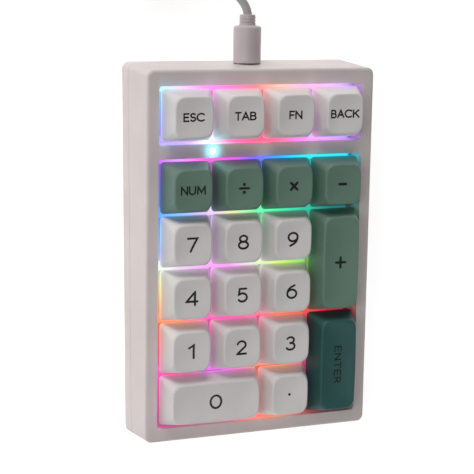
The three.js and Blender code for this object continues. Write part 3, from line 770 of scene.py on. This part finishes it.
# Each sign: its width, then its strokes, in units of the letter height. One point alone is a dot.
SIGNS = {
    "A": (0.8, [(0, 0), (0.4, 1), (0.8, 0)], [(0.14, 0.33), (0.66, 0.33)]),
    "B": (0.62, [(0.3, 0.53), (0, 0.53), (0, 1), (0.32, 1), *arc(0.32, 0.765, 0.235, 0.235, 90, -90)],
          [(0, 0.53), (0, 0), (0.34, 0), *arc(0.34, 0.265, 0.265, 0.265, -90, 90)]),
    "C": (0.8, arc(0.46, 0.5, 0.48, 0.5, 48, 312, 28)),
    "E": (0.58, [(0.58, 1), (0, 1), (0, 0), (0.58, 0)], [(0, 0.52), (0.52, 0.52)]),
    "F": (0.55, [(0.55, 1), (0, 1), (0, 0)], [(0, 0.5), (0.48, 0.5)]),
    "K": (0.66, [(0, 0), (0, 1)], [(0.62, 1), (0.02, 0.4)], [(0.22, 0.6), (0.66, 0)]),
    "M": (0.86, [(0, 0), (0.05, 1), (0.43, 0.22), (0.81, 1), (0.86, 0)]),
    "N": (0.72, [(0, 0), (0, 1), (0.72, 0), (0.72, 1)]),
    "R": (0.62, [(0, 0), (0, 1), (0.32, 1), *arc(0.32, 0.74, 0.26, 0.26, 90, -90), (0, 0.48)],
          [(0.3, 0.48), (0.62, 0)]),
    "S": (0.6, arc(0.3, 0.745, 0.26, 0.255, 30, 255, 16) + arc(0.3, 0.255, 0.29, 0.255, 75, -150, 16)),
    "T": (0.66, [(0, 1), (0.66, 1)], [(0.33, 1), (0.33, 0)]),
    "U": (0.7, [(0, 1), (0, 0.35), *arc(0.35, 0.35, 0.35, 0.35, 180, 360), (0.7, 1)]),
    "0": (0.8, arc(0.4, 0.5, 0.4, 0.5, 90, 450, 40)),
    "1": (0.34, [(0, 0.78), (0.34, 1), (0.34, 0)]),
    "2": (0.66, arc(0.32, 0.7, 0.31, 0.3, 165, -35, 20) + [(0, 0), (0.66, 0)]),
    "3": (0.66, arc(0.31, 0.755, 0.27, 0.245, 150, -90, 20), arc(0.31, 0.27, 0.33, 0.27, 90, -150, 22)),
    "4": (0.8, [(0.62, 0), (0.62, 1), (0, 0.27), (0.8, 0.27)]),
    "5": (0.68, [(0.6, 1), (0.12, 1), (0.06, 0.55), *arc(0.33, 0.32, 0.335, 0.32, 125, -145, 24)]),
    "6": (0.72, [(0.56, 1), *arc(0.62, 0.36, 0.6, 0.6, 110, 178, 12)],
          arc(0.36, 0.33, 0.35, 0.33, 90, 450, 36)),
    "7": (0.68, [(0, 1), (0.68, 1), (0.2, 0)]),
    "8": (0.7, arc(0.35, 0.76, 0.27, 0.24, 90, 450, 32), arc(0.35, 0.265, 0.345, 0.265, 90, 450, 36)),
    "9": (0.72, [(0.16, 0), *arc(0.1, 0.64, 0.6, 0.6, -70, -2, 12)],
          arc(0.36, 0.67, 0.35, 0.33, 90, 450, 36)),
    "+": (0.8, [(0, 0.5), (0.8, 0.5)], [(0.4, 0.1), (0.4, 0.9)]),
    "-": (0.8, [(0, 0.5), (0.8, 0.5)]),
    "*": (0.66, [(0, 0.17), (0.66, 0.83)], [(0, 0.83), (0.66, 0.17)]),
    "/": (0.86, [(0, 0.5), (0.86, 0.5)], [(0.43, 0.86)], [(0.43, 0.14)]),
    ".": (0.06, [(0.03, 0)]),
}
STROKE_HEIGHT = 0.045  # how far the ink stands out of the cap
STROKE_STEP = 0.35
# A stroke's section as shares of half its width and of its height, and its rounded end: how far the
# rings are from the end's start, and how large they are.
STROKE_SECTION = ((-1, 0), (-0.8, 0.7), (-0.35, 1), (0.35, 1), (0.8, 0.7), (1, 0), (0.9, -2), (-0.9, -2))
STROKE_END = ((0.5, 0.87), (0.85, 0.53), (1, 0.15))


def resampled(path, step):
    """The path with points no more than a step apart, none of them twice."""
    points = [path[0]]
    for start, end in zip(path, path[1:]):
        count = max(1, math.ceil((end - start).length / step))
        points += [start.lerp(end, i / count) for i in range(1, count + 1)]
    return [p for i, p in enumerate(points) if i == 0 or (p - points[i - 1]).length > 1e-4]


def stroke(solid, path, width, height_at):
    """A low rounded bead along a path on the cap's top, with round ends."""
    path = resampled(path, STROKE_STEP)
    first, last = (path[1] - path[0]).normalized(), (path[-1] - path[-2]).normalized()
    stations = [(path[0] - first * width / 2 * reach, size) for reach, size in reversed(STROKE_END)]
    stations += [(p, 1.0) for p in path]
    stations += [(path[-1] + last * width / 2 * reach, size) for reach, size in STROKE_END]
    rings = []
    for i, (p, size) in enumerate(stations):
        incoming = p - stations[max(i - 1, 0)][0]
        outgoing = stations[min(i + 1, len(stations) - 1)][0] - p
        ahead = (incoming.normalized() + outgoing.normalized()).normalized()
        widen = 1.0
        if incoming.length > 0 and outgoing.length > 0:
            widen = 1 / max(0.5, ahead.dot(outgoing.normalized()))
        sideways = Vector((-ahead.y, ahead.x)) * width / 2 * size * widen
        ring = [(p + sideways * across, up) for across, up in STROKE_SECTION]
        rings.append([
            Vector((q.x, q.y, height_at(q.x, q.y) + STROKE_HEIGHT * up * size)) for q, up in ring
        ])
    solid.loft(rings)


def round_dot(solid, place, radius, height_at):
    """A low round dot on the cap's top."""
    rings = []
    for size, up in ((0.9, -2), (1.0, 0), (0.93, 0.6), (0.7, 0.9), (0.3, 1.0)):
        rings.append([
            Vector((p.x, p.y, height_at(p.x, p.y) + STROKE_HEIGHT * up))
            for p in (place + c for c in circle(radius * size, 20))
        ])
    solid.loft(rings)


# Of each kind of legend: letter height, how much wider than drawn, stroke width, gap between letters, turn.
WORD_STYLE = (2.5, 1.2, 0.6, 0.68, 0)
LEGEND_STYLES = {
    "num": (2.6, 1.2, 0.6, 0.8, 0), "enter": (2.45, 1.24, 0.52, 1.0, -90), "dot": (5.0, 1, 0.72, 0, 0),
    "plus": (4.5, 1, 0.95, 0, 0), "minus": (3.1, 1, 1.0, 0, 0), "multiply": (3.6, 1, 0.98, 0, 0),
    "divide": (3.9, 1, 0.86, 0, 0),
}
DIGIT_STYLE = (4.6, 1.1, 0.8, 0, 0)


def legend(key):
    text, finish = KEYS[key][0], KEYS[key][5]
    usual = WORD_STYLE if len(text) > 1 else DIGIT_STYLE
    height, widen, width, gap, turn = LEGEND_STYLES.get(key, usual)
    start = -(sum(SIGNS[sign][0] * height * widen for sign in text) + gap * (len(text) - 1)) / 2
    drop = 0 if text == "." else height / 2
    rotation = Matrix.Rotation(math.radians(turn), 2)
    ink = Solid(key_frame(key, CAP_BOTTOM))

    def top(x, y):
        return dish(key, x, y)

    for sign in text:
        sign_width, *strokes = SIGNS[sign]
        for path in strokes:
            placed = [rotation @ Vector((start + x * height * widen, y * height - drop)) for x, y in path]
            if len(placed) > 1:
                stroke(ink, placed, width, top)
            else:
                round_dot(ink, placed[0], width * 0.72, top)
        start += sign_width * height * widen + gap
    ink.piece("legend_" + key, INK, "key_" + key, CAP_SLOTS[finish], sharp=60)


# ---- The case ----
CASE_CORNER = 10  # steps around each corner


def foot_ring(inset, z):
    """The outline of the case at its foot."""
    width, length = WIDTH + 2 * SIDE_DRAFT, DEPTH + FRONT_DRAFT + REAR_DRAFT
    return at(outline(width - 2 * inset, length - 2 * inset, CORNER_RADIUS - inset, CASE_CORNER), z)


def rim_ring(inset, z):
    """The outline of the case at a deck height, in the untilted frame."""
    shape = outline(WIDTH - 2 * inset, LENGTH - 2 * inset, CORNER_RADIUS - inset, CASE_CORNER)
    return [DECK @ p for p in at(shape, z)]


def wall_ring(z, inset=0.0):
    """The outside of the walls at a level height, between the foot and the rim."""
    low, high = foot_ring(inset, FOOT_STAND + 0.5), rim_ring(inset, -EDGE_RADIUS)
    return [a.lerp(b, (z - a.z) / (b.z - a.z)) for a, b in zip(low, high)]


def inner_ring(height, level=None):
    """The inside of the case walls, at a deck height or where it meets a level height."""
    shape = outline(INNER_WIDTH, INNER_LENGTH, 1.5, CASE_CORNER)
    if level is None:
        return [DECK @ p for p in at(shape, height)]
    drop = level - DECK_Z
    return [DECK @ Vector((p.x, p.y, (drop - p.y * math.sin(TILT)) / math.cos(TILT))) for p in shape]


WINDOW_EDGE = 0.28  # rounding around the windows
EDGE_STEPS = 6
WINDOW_LEVELS = (-0.8, -1.6, -2.6, -3.8, -5.2, -6.5, FRAME_UNDERSIDE)


def window_rings(front, rear):
    """A window in the bezel, from its rounded upper edge down, in the untilted frame."""
    width, length = COLUMNS * PITCH + 2 * WINDOW_MARGIN, rear - front + 2 * WINDOW_MARGIN
    middle = (front + rear) / 2

    def ring(outset, z):
        shape = outline(width + 2 * outset, length + 2 * outset, 1.0 + outset, 5, 24)
        return [DECK @ p for p in at(shape, z, 0, middle)]

    rounded = []
    for i in range(4):
        a = math.pi / 2 * i / 3
        rounded.append(ring(WINDOW_EDGE * (1 - math.sin(a)), WINDOW_EDGE * (math.cos(a) - 1)))
    return rounded + [ring(0, z) for z in WINDOW_LEVELS]


# The indicator's hole, with rings around it that let its light fade: radius and deck height.
LAMP_RINGS = (
    (2.35, 0.0), (2.0, 0.0), (1.7, 0.0), (1.4, 0.0), (1.2, 0.0), (1.1, -0.08), (1.08, -0.3),
    (1.08, FRAME_UNDERSIDE),
)
WINDOWS = ((BLOCK_FRONT - WINDOW_MARGIN, BLOCK_REAR + WINDOW_MARGIN),
           (FUNCTION_FRONT - WINDOW_MARGIN, FUNCTION_REAR + WINDOW_MARGIN))
INSIDE_X = COLUMNS / 2 * PITCH + WINDOW_MARGIN


def case_glow(p):
    """Painted light on the window walls, fading over the bezel next to them, and around the indicator."""
    local = DECK.inverted() @ p
    outside = min(
        math.hypot(max(0.0, abs(local.x) - INSIDE_X), max(0.0, front - local.y, local.y - rear))
        for front, rear in WINDOWS
    )
    if outside > 6 or local.z < FRAME_UNDERSIDE - 1:
        return unlit(p)
    if outside > WINDOW_EDGE / 2:
        aside = abs(local.x) > INSIDE_X
        nearness = 0.03 if aside else 0.18 if local.y > DIVIDER_Y + 3 else 0.14
        strength = nearness * math.exp(-outside / 2.6) * max(0.0, 1 + local.z / EDGE_RADIUS)
    else:
        strength = 0.15 + 0.6 * min(1.0, max(0.0, -local.z) / 1.5)
    lamp = lamp_glow(local.x, local.y, 2.5) * (1.6 if local.z > -0.3 else 0.0)
    return shine(local.x, local.y) * strength + lamp


def carve(made, *tools, glow_of=None):
    """Cuts closed shapes out of a piece that isn't on the deck, and sets its light anew."""
    for tool in tools:
        mesh = tool.mesh("tool")
        mesh.transform(Matrix.Scale(MM, 4))
        cutter = add_object("tool", mesh)
        cut = made.modifiers.new("cut", "BOOLEAN")
        cut.operation, cut.solver, cut.object = "DIFFERENCE", "EXACT", cutter
        with bpy.context.temp_override(object=made, active_object=made):
            bpy.ops.object.modifier_move_to_index(modifier=cut.name, index=0)
            bpy.ops.object.modifier_apply(modifier=cut.name)
        bpy.data.objects.remove(cutter)
    if glow_of:
        set_glow(made.data, glow_of, MM)


SCREW_X, SCREW_Y = 38.5, 61.2
SUPPORTS = [(x, y) for x in (-PITCH, PITCH) for y in (row(3.5), row(0.5))]


def light_cuts():
    """Planes across the bezel between which the colour of the light on it changes."""
    across = [i * PITCH / 2 for i in range(-COLUMNS, COLUMNS + 1)]
    down = []
    for side in (-1, 1):
        across += [side * (INSIDE_X + 2)] + [LENS_X + side * reach for reach in (2.5, 3.2, 4.0, 5.2)]
    for front, rear in WINDOWS:
        for reach in (0.9, 1.8, 3.2):
            down += [front - reach, rear + reach]
    turn = DECK.to_3x3()
    cuts = [(DECK @ Vector((x, 0, 0)), turn @ Vector((1, 0, 0))) for x in across]
    return cuts + [(DECK @ Vector((0, y, 0)), turn @ Vector((0, 1, 0))) for y in down]


def top_case():
    case = Solid()
    quarter = [math.pi / 2 * i / EDGE_STEPS for i in range(EDGE_STEPS + 1)]
    low = SEAM_HEIGHT + SEAM_GAP
    outer = [wall_ring(low, 0.12), wall_ring(low + 0.12)]
    outer += [rim_ring(EDGE_RADIUS * (1 - math.cos(a)), EDGE_RADIUS * (math.sin(a) - 1)) for a in quarter]
    skin = case.loft(outer, start=False, end=False)
    holes = [window_rings(BLOCK_FRONT, BLOCK_REAR), window_rings(FUNCTION_FRONT, FUNCTION_REAR)]
    holes += [[[DECK @ p for p in at(circle(r, 28), z, LENS_X, DIVIDER_Y)] for r, z in LAMP_RINGS]]
    holes = [case.loft(rings, start=False, end=False) for rings in holes]
    case.fill([skin[-1]] + [hole[0] for hole in holes])
    inside = case.loft([inner_ring(FRAME_UNDERSIDE), inner_ring(0, level=low)], start=False, end=False)
    case.fill([inside[0]] + [hole[-1] for hole in holes])
    case.bridge(inside[-1], skin[0])
    made = case.piece("top_cover", CASE, "case", "case_plastic", "top_case", on_deck=False,
                      glow_of=case_glow, cuts=light_cuts())
    opening = Solid(DECK @ facing((0, 0, -SOCKET_DROP), REARWARDS))
    opening.loft([at(outline(9.7, 3.9, 1.94), LENGTH / 2 + reach) for reach in (-4, 6)])
    carve(made, opening, glow_of=case_glow)
    bosses = Solid()
    for x in (-SCREW_X, SCREW_X):
        bosses.frame = Matrix.Translation((x, SCREW_Y, 0))
        bosses.turned([(1.35, 17.4), (1.35, low + 0.3), (2.05, low + 0.3), (2.2, low + 0.5), (2.2, 20.2)], 24)
    bosses.piece("screw_bosses", CASE, "case", "case_plastic", on_deck=False, glow_of=unlit)


FEET_Y = {"front_foot": -54, "rear_foot": 53}
FOOT_LENGTH, FOOT_WIDTH = 64, 8


def bottom_case():
    case = Solid()
    foot_edge = ((0.5, 0), (0.28, 0.08), (0.08, 0.28), (0, 0.5))
    outer = [foot_ring(inset, FOOT_STAND + rise) for inset, rise in foot_edge]
    outer += [wall_ring(SEAM_HEIGHT - 0.12), wall_ring(SEAM_HEIGHT, 0.12)]
    floor = [Vector((p.x, p.y, FLOOR_TOP)) for p in inner_ring(0, level=FLOOR_TOP)]
    case.loft(outer + [inner_ring(0, level=SEAM_HEIGHT), floor])
    made = case.piece("bottom_cover", CASE, "case", "case_plastic", "bottom_case", on_deck=False,
                      glow_of=unlit)
    tools = []
    for y in FEET_Y.values():
        pocket = Solid()
        shape = outline(FOOT_LENGTH + 0.4, FOOT_WIDTH + 0.4, FOOT_WIDTH / 2 + 0.19, 10)
        pocket.loft([at(shape, z, 0, y) for z in (0, FOOT_STAND + 0.65)])
        tools.append(pocket)
    for x in (-SCREW_X, SCREW_X):
        for radius, depth in ((2.4, FOOT_STAND + 1.8), (1.35, SEAM_HEIGHT)):
            hole = Solid(Matrix.Translation((x, SCREW_Y, 0)))
            hole.turned([(radius, 0), (radius, depth)], 28)
            tools.append(hole)
    carve(made, *tools, glow_of=unlit)
    posts = Solid()
    for x, y in SUPPORTS:
        top = DECK @ Vector((x, y, -BOARD_DEPTH - 0.35))
        posts.frame = Matrix.Translation((x, top.y, 0))
        posts.turned([(2.6, FLOOR_TOP - 0.3), (2.2, FLOOR_TOP + 0.3), (2.0, FLOOR_TOP + 0.8),
                      (2.0, top.z - 0.2), (1.8, top.z)], 24)
    for x in (-SCREW_X, SCREW_X):
        posts.frame = Matrix.Translation((x, SCREW_Y, 0))
        posts.turned([(1.35, FLOOR_TOP - 0.2), (1.35, SEAM_HEIGHT), (2.7, SEAM_HEIGHT),
                      (2.9, SEAM_HEIGHT - 0.2), (2.9, FLOOR_TOP - 0.2)], 28)
    posts.piece("support_posts", CASE, "case", "case_plastic", on_deck=False, glow_of=unlit)


# ---- Boards and switches ----
NOTCH = 5.2
BOARD_WIDTH, BOARD_LENGTH = INNER_WIDTH - 0.8, INNER_LENGTH - 0.8


def board_outline(width, length):
    """The outline of a board, with notches around the screw bosses at its rear corners."""
    x, y, chamfer = width / 2, length / 2, 1.0
    half = [(x - chamfer, -y), (x, chamfer - y), (x, y - NOTCH), (x - NOTCH, y - NOTCH), (x - NOTCH, y)]
    return [Vector(p) for p in [(chamfer - x, -y)] + half + [(-px, py) for px, py in reversed(half[1:])]]


def board(solid, shape, low, high, holes):
    """A sheet with holes, its upper and lower edges slightly broken."""
    edge = 0.1
    walls = [solid.loft([at(shape, z) for z in (low, high)], start=False, end=False)]
    for hole, x, y in holes:
        grown = [p * (1 + edge / p.length) for p in hole]
        rings = ((grown, low), (hole, low + edge), (hole, high - edge), (grown, high))
        walls.append(solid.loft([at(ring, z, x, y) for ring, z in rings], start=False, end=False))
    solid.fill([wall[0] for wall in walls])
    solid.fill([wall[-1] for wall in walls])


# Planes along the columns and rows, which let the light's colour change along a flat face.
GRID = [((i * PITCH / 2, 0, 0), (1, 0, 0)) for i in range(-COLUMNS, COLUMNS + 1)]
GRID += [((0, row(i / 2 - 0.5), 0), (0, 1, 0)) for i in range(2 * ROWS + 1)]
GRID += [((0, FUNCTION_ROW, 0), (0, 1, 0))]


def switch_plate():
    """The plate under the keycaps, and the two baffles that close its notches to the light."""
    plate = Solid()
    holes = []
    for _, x, y, wide, long, _ in KEYS.values():
        holes.append((outline(14, 14, 0.3, 3, 2), x, y))
        for dx, dy in stabilisers(wide, long):
            size = (6.8, 13.4) if dx else (13.4, 6.8)
            holes.append((outline(*size, 0.3, 3, 2), x + dx, y + dy))
    shape = board_outline(BOARD_WIDTH, BOARD_LENGTH)
    board(plate, shape, -PLATE_DEPTH - PLATE_THICKNESS, -PLATE_DEPTH, holes)
    plate.piece("plate", PLATE, "case", "switch_plate", "switch_plate", glow_of=lit_by(shine), cuts=GRID)
    for name, side in (("left", -1), ("right", 1)):
        x, y = side * (BOARD_WIDTH - NOTCH + 0.1) / 2, (BOARD_LENGTH - NOTCH + 0.1) / 2
        baffle = Solid(Matrix.Translation((x, y, -PLATE_DEPTH)))
        baffle.block(NOTCH - 0.2, NOTCH - 0.2, -0.2, 0.1, radius=0.2, edge=0.05)
        baffle.piece("light_baffle_" + name, PLATE, "case", "switch_plate", glow_of=lit_by(shine))


def switch_housings():
    """All the housings on their film: lower shell, flange, tapered upper shell with the stem's well in it."""
    housings = Solid()
    outside = [
        (13.4, 0.8, -4.9), (13.8, 0.8, -4.4), (13.8, 0.8, -0.1), (15.4, 0.5, 0.05), (15.6, 0.5, 0.2),
        (15.6, 0.5, 0.85), (15.4, 0.5, 1.0), (14.4, 1.2, 1.1), (13.4, 1.5, 3.0), (12.2, 1.8, 5.4),
        (11.6, 2.0, 6.35), (11.2, 2.0, 6.6),
    ]
    rings = sections(4, [(side, side, radius, z) for side, radius, z in outside])
    rings += sections(4, [(7.6, 6.4, 0.4, 6.6), (7.4, 6.2, 0.4, 6.4), (7.4, 6.2, 0.4, -4.3)])
    for key in KEYS:
        housings.frame = key_frame(key, -PLATE_DEPTH)
        housings.loft(rings)
        for side in (-1, 1):
            housings.block(1.1, 3.4, 1.0, 4.6, x=side * 6.75)
            housings.block(3.0, 0.9, -2.6, -0.1, y=side * 6.75, radius=0.2)
        housings.turned([(1.5, -8.2), (1.9, -7.8), (1.9, -4.7)], 20)
    housings.frame = Matrix.Translation((0, 0, -PLATE_DEPTH))
    housings.loft([at(board_outline(BOARD_WIDTH - 2, BOARD_LENGTH - 2), z) for z in (-4.9, -4.5)])
    housings.piece("switch_housing_set", HOUSING, "case", "switch_housing", "switch_housings",
                   glow_of=lit_by(glow, 0.8))


def lamps():
    """One lamp under the light window of each switch, at the rear of its housing."""
    bodies, windows = Solid(), Solid()
    for key in KEYS:
        bodies.frame = windows.frame = key_frame(key, -PLATE_DEPTH)
        bodies.block(3.4, 1.3, 5.9, 6.75, y=4.5)
        windows.block(2.8, 0.8, 6.7, 6.9, y=4.5, radius=0.35, edge=0.06)
    bodies.piece("lamp_windows", CONNECTOR_BODY, "case", "switch_housing")
    windows.piece("lamps", LAMP_BODY, "case", "switch_housing", glow_of=lit_by(glow))


def add_cross(solid, low, x=0.0):
    """The plus-shaped post that carries a cap."""
    cross = cross_outline(4.1, 1.3)
    solid.loft([at(cross, low, x), at(cross, 10.0, x), at([p * 0.93 for p in cross], 10.2, x)])


def stem(key):
    """A switch's slider: a block with guide rails, and the cross that carries the cap."""
    slider = Solid(key_frame(key, -PLATE_DEPTH))
    slider.block(6.6, 5.4, 0.3, 6.4, radius=0.6, edge=0.3)
    for side in (-1, 1):
        slider.block(0.35, 2.0, 0.6, 6.0, x=side * 3.3, radius=0.1, edge=0.08)
    add_cross(slider, 6.2)
    slider.piece("slider_" + key, STEM, "key_" + key, "switch_stem", "stem_" + key)


SPRING_LOW, SPRING_HIGH = -4.2, 0.25  # above the plate
SPRING_TURNS, SPRING_POINTS = 5, 14  # turns, and points in each


def spring(key):
    """A conical return spring, which closes flat under its slider."""
    steps = SPRING_TURNS * SPRING_POINTS
    path = []
    for i in range(steps + 1):
        share = i / steps
        radius, angle = 2.6 - 1.3 * share, 2 * math.pi * SPRING_TURNS * share
        height = SPRING_LOW + 0.12 + share * (SPRING_HIGH - SPRING_LOW - 0.24)
        path.append(Vector((radius * math.cos(angle), radius * math.sin(angle), height)))
    frame = key_frame(key, -PLATE_DEPTH)
    wire = Solid(frame)
    wire.tube(path, 0.11, 6)
    made = wire.piece("spring_" + key, STEEL, "case", "screw_steel")
    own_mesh(made)


def stabiliser(key):
    """The two guides of a long key, the sliders in them and the wire that joins the sliders."""
    turn = 0 if KEYS[key][3] > 1 else math.pi / 2
    frame = key_frame(key, -PLATE_DEPTH) @ Matrix.Rotation(turn, 4, "Z")
    guides, sliders, wire = Solid(frame), Solid(frame), Solid(frame)
    for x in (-STABILISER_SPREAD, STABILISER_SPREAD):
        guides.loft([at(outline(width, length, radius, 4), z, x) for width, length, radius, z in (
            (6.2, 12.6, 0.8, -3.6), (6.2, 12.6, 0.8, 1.6), (5.8, 12.2, 0.7, 1.9), (4.9, 5.2, 0.4, 1.9),
            (4.7, 5.0, 0.4, 1.7), (4.7, 5.0, 0.4, -3.4),
        )])
        sliders.block(4.3, 4.6, 0.8, 5.8, x=x, radius=0.4)
        add_cross(sliders, 5.6, x)
    level, bend = 1.5, 1.4
    right = [
        Vector((STABILISER_SPREAD - bend * (1 - math.sin(a)), -7.5 + bend * (1 - math.cos(a)), level))
        for a in (math.pi / 2 * i / 6 for i in range(7))
    ]
    right += [Vector((STABILISER_SPREAD, y, level)) for y in (-4.5, -3.0, -1.5, 0.0)]
    wire.tube([Vector((-p.x, p.y, p.z)) for p in reversed(right)] + right, 0.45, 8)
    guides.piece("stabiliser_guides_" + key, HOUSING, "case", "switch_housing", glow_of=lit_by(glow, 0.6))
    sliders.piece("stabiliser_sliders_" + key, STEM, "key_" + key, "switch_stem")
    made = wire.piece("stabiliser_wire_" + key, STEEL, None, "screw_steel")
    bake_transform(made)


def board_parts():
    """What is soldered to the underside of the circuit board."""
    under = Matrix.Translation((0, 0, -BOARD_DEPTH))
    resin, ends = Solid(under), Solid(under)
    chip_y = row(2) - 9.5
    resin.block(7.0, 7.0, -0.9, -0.02, 0, chip_y, 0.3, 0.1)
    resin.block(5.0, 3.0, -1.2, -0.02, 0, 52, 0.2, 0.1)
    for side in (-1, 1):
        for i in range(8):
            pin = (i - 3.5) * 0.8
            ends.block(0.9, 0.3, -0.25, -0.02, side * 3.9, chip_y + pin, 0.05, 0.04)
            ends.block(0.3, 0.9, -0.25, -0.02, pin, chip_y + side * 3.9, 0.05, 0.04)
    for _, x, y, _, _, _ in KEYS.values():
        resin.block(1.6, 0.8, -0.6, -0.02, x + 5.5, y - 3.0, 0.1, 0.06)
        for side in (-1, 1):
            ends.block(0.35, 0.9, -0.45, -0.02, x + 5.5 + side * 0.95, y - 3.0, 0.05, 0.04)
    resin.piece("board_chips", CHIP, "case", "circuit_board")
    ends.piece("board_contacts", GOLD, "case", "circuit_board")


# ---- Small parts of the case ----
def feet():
    top = FOOT_STAND + 0.4
    profile = [(0.55, 0.0), (0.25, 0.05), (0.07, 0.2), (0.0, 0.45), (0.0, top), (0.15, top + 0.15)]
    for node, y in FEET_Y.items():
        foot = Solid(Matrix.Translation((0, y, 0)))
        foot.loft(sections(10, [
            (FOOT_LENGTH - 2 * inset, FOOT_WIDTH - 2 * inset, FOOT_WIDTH / 2 - inset - 0.01, z)
            for inset, z in profile
        ]))
        foot.piece(node + "_pad", RUBBER, "case", "rubber", node, on_deck=False)


def screws():
    head = FOOT_STAND + 0.3
    profile = [(1.6, head), (1.85, head + 0.08), (2.0, head + 0.3), (2.0, head + 1.4), (1.05, head + 1.4)]
    z = head + 1.6
    while z < 15.0:
        profile += [(0.85, z), (1.05, z + 0.22), (0.85, z + 0.44)]
        z += 0.5
    for node, x in (("screw_left", -SCREW_X), ("screw_right", SCREW_X)):
        screw, recess = (Solid(Matrix.Translation((x, SCREW_Y, 0))) for _ in range(2))
        screw.turned(profile + [(0.5, 16.0)], 28)
        made = screw.piece(node + "_body", STEEL, "case", "screw_steel", node, on_deck=False)
        cross = cross_outline(2.3, 0.62)
        recess.loft([at(cross, head - 0.3), at([p * 0.6 for p in cross], head + 0.9)])
        carve(made, recess)


def foam_sheet():
    """The foam on the floor, with holes for the support posts."""
    foam = Solid()
    holes = [(circle(2.8, 24), x, (DECK @ Vector((x, y, -20))).y) for x, y in SUPPORTS]
    shape = [p + Vector((0, -3.5)) for p in outline(INNER_WIDTH - 3, 119, 2, 8)]
    board(foam, shape, FLOOR_TOP + 0.1, FLOOR_TOP + 2.3, holes)
    foam.piece("foam_sheet", FOAM, "case", "foam", "case_foam", on_deck=False)


def indicator():
    """The light pipe in the divider bar."""
    lens = Solid(Matrix.Translation((LENS_X, DIVIDER_Y, 0)))
    lens.turned([
        (1.0, FRAME_UNDERSIDE), (1.0, -0.3), (0.97, -0.12), (0.86, -0.02), (0.6, 0.03), (0.25, 0.048),
        (0.05, 0.05),
    ], 32)
    light = linear("B8FFFF")
    lens.piece("indicator_light_pipe", INDICATOR, "case", "indicator", "indicator_lens",
               glow_of=lambda p: light)


def usb_socket():
    """The socket's drawn shell and the tongue with its contacts."""
    frame = facing((0, LENGTH / 2 - 7.2, -SOCKET_DROP), REARWARDS)
    shell, tongue, contacts = Solid(frame), Solid(frame), Solid(frame)
    shell.loft([
        at(outline(width, height, height / 2 - 0.005), z)
        for width, height, z in (
            (8.85, 3.05, 0.0), (9.05, 3.25, 0.1), (9.05, 3.25, 7.4), (8.95, 3.15, 7.56), (8.75, 2.95, 7.6),
            (8.55, 2.75, 7.5), (8.45, 2.65, 7.3), (8.45, 2.65, 1.0),
        )
    ])
    shell.piece("usb_socket_shell", DRAWN, "case", "plug_metal", "usb_socket")
    tongue.loft(sections(4, ((6.2, 0.7, 0.2, 0.9), (6.2, 0.7, 0.2, 5.4), (6.0, 0.5, 0.2, 5.6))))
    tongue.piece("usb_socket_tongue", CHIP, "case", "plug_metal")
    for i in range(12):
        for y in (-0.36, 0.36):
            contacts.loft([at(outline(0.26, 0.06, 0.02, 2), z, (i - 5.5) * 0.5, y) for z in (1.2, 5.2)])
    contacts.piece("usb_socket_contacts", GOLD, "case", "plug_metal")


# ---- Assembly ----
lead = cable()
grips = [usb_c_grip(), usb_c_tip(), usb_a_grip(), usb_a_shell(), coil_tie()]
top_case()
bottom_case()
for key in KEYS:
    keycap(key)
    legend(key)
    stem(key)
    spring(key)
for key in ("plus", "enter", "0"):
    stabiliser(key)
switch_plate()
switch_housings()
lamps()
board_parts()
feet()
screws()
foam_sheet()
indicator()
usb_socket()
frame["nodes"]["pcb"].data.materials.clear()
frame["nodes"]["pcb"].data.materials.append(BOARD)


# ---- Floor and light ----
def studio():
    floor = Solid()
    floor.turned([(9000, -8), (9000, 0)], 96)
    mesh = floor.mesh("floor")
    mesh.transform(Matrix.Scale(MM, 4))
    paper = Finish("floor_paper", 0.9, Emission_Strength=0.66, Emission_Color=(1, 1, 1, 1))
    paper.mottle((0.80, 0.80, 0.80), (0.82, 0.82, 0.82), scale=3)
    mesh.materials.append(paper.material)
    add_object("floor", mesh)


def area_light(name, place, size, power, colour):
    """A round softbox that faces the keypad."""
    light = bpy.data.lights.new(name, "AREA")
    light.shape, light.size, light.energy, light.color = "DISK", size, power, colour
    made = add_object(name, light)
    made.location = place
    made.rotation_euler = (Vector((0, 0, 0.01)) - Vector(place)).to_track_quat("-Z", "Y").to_euler()


def sky():
    """White at the horizon, dimmer overhead."""
    world = bpy.data.worlds.new("sky")
    bpy.context.scene.world = world
    world.use_nodes = True
    nodes, links = world.node_tree.nodes, world.node_tree.links
    place = nodes.new("ShaderNodeTexCoord")
    split = nodes.new("ShaderNodeSeparateXYZ")
    ramp = nodes.new("ShaderNodeValToRGB")
    links.new(place.outputs["Generated"], split.inputs["Vector"])
    links.new(split.outputs["Z"], ramp.inputs["Fac"])
    links.new(ramp.outputs["Color"], nodes["Background"].inputs["Color"])
    first, last = ramp.color_ramp.elements
    first.position, first.color = 0.05, (0.3, 0.295, 0.29, 1)
    last.position, last.color = 0.5, (0.1, 0.1, 0.102, 1)


studio()
sky()
area_light("rear_softbox", (-0.35, 1.2, 0.5), 0.9, 8, (1.0, 0.97, 0.95))
area_light("left_softbox", (-0.85, 0.1, 0.9), 0.7, 2.9, (1.0, 0.98, 0.96))
area_light("front_softbox", (0.05, -0.33, 0.36), 0.3, 0.5, (1.0, 1.0, 1.0))
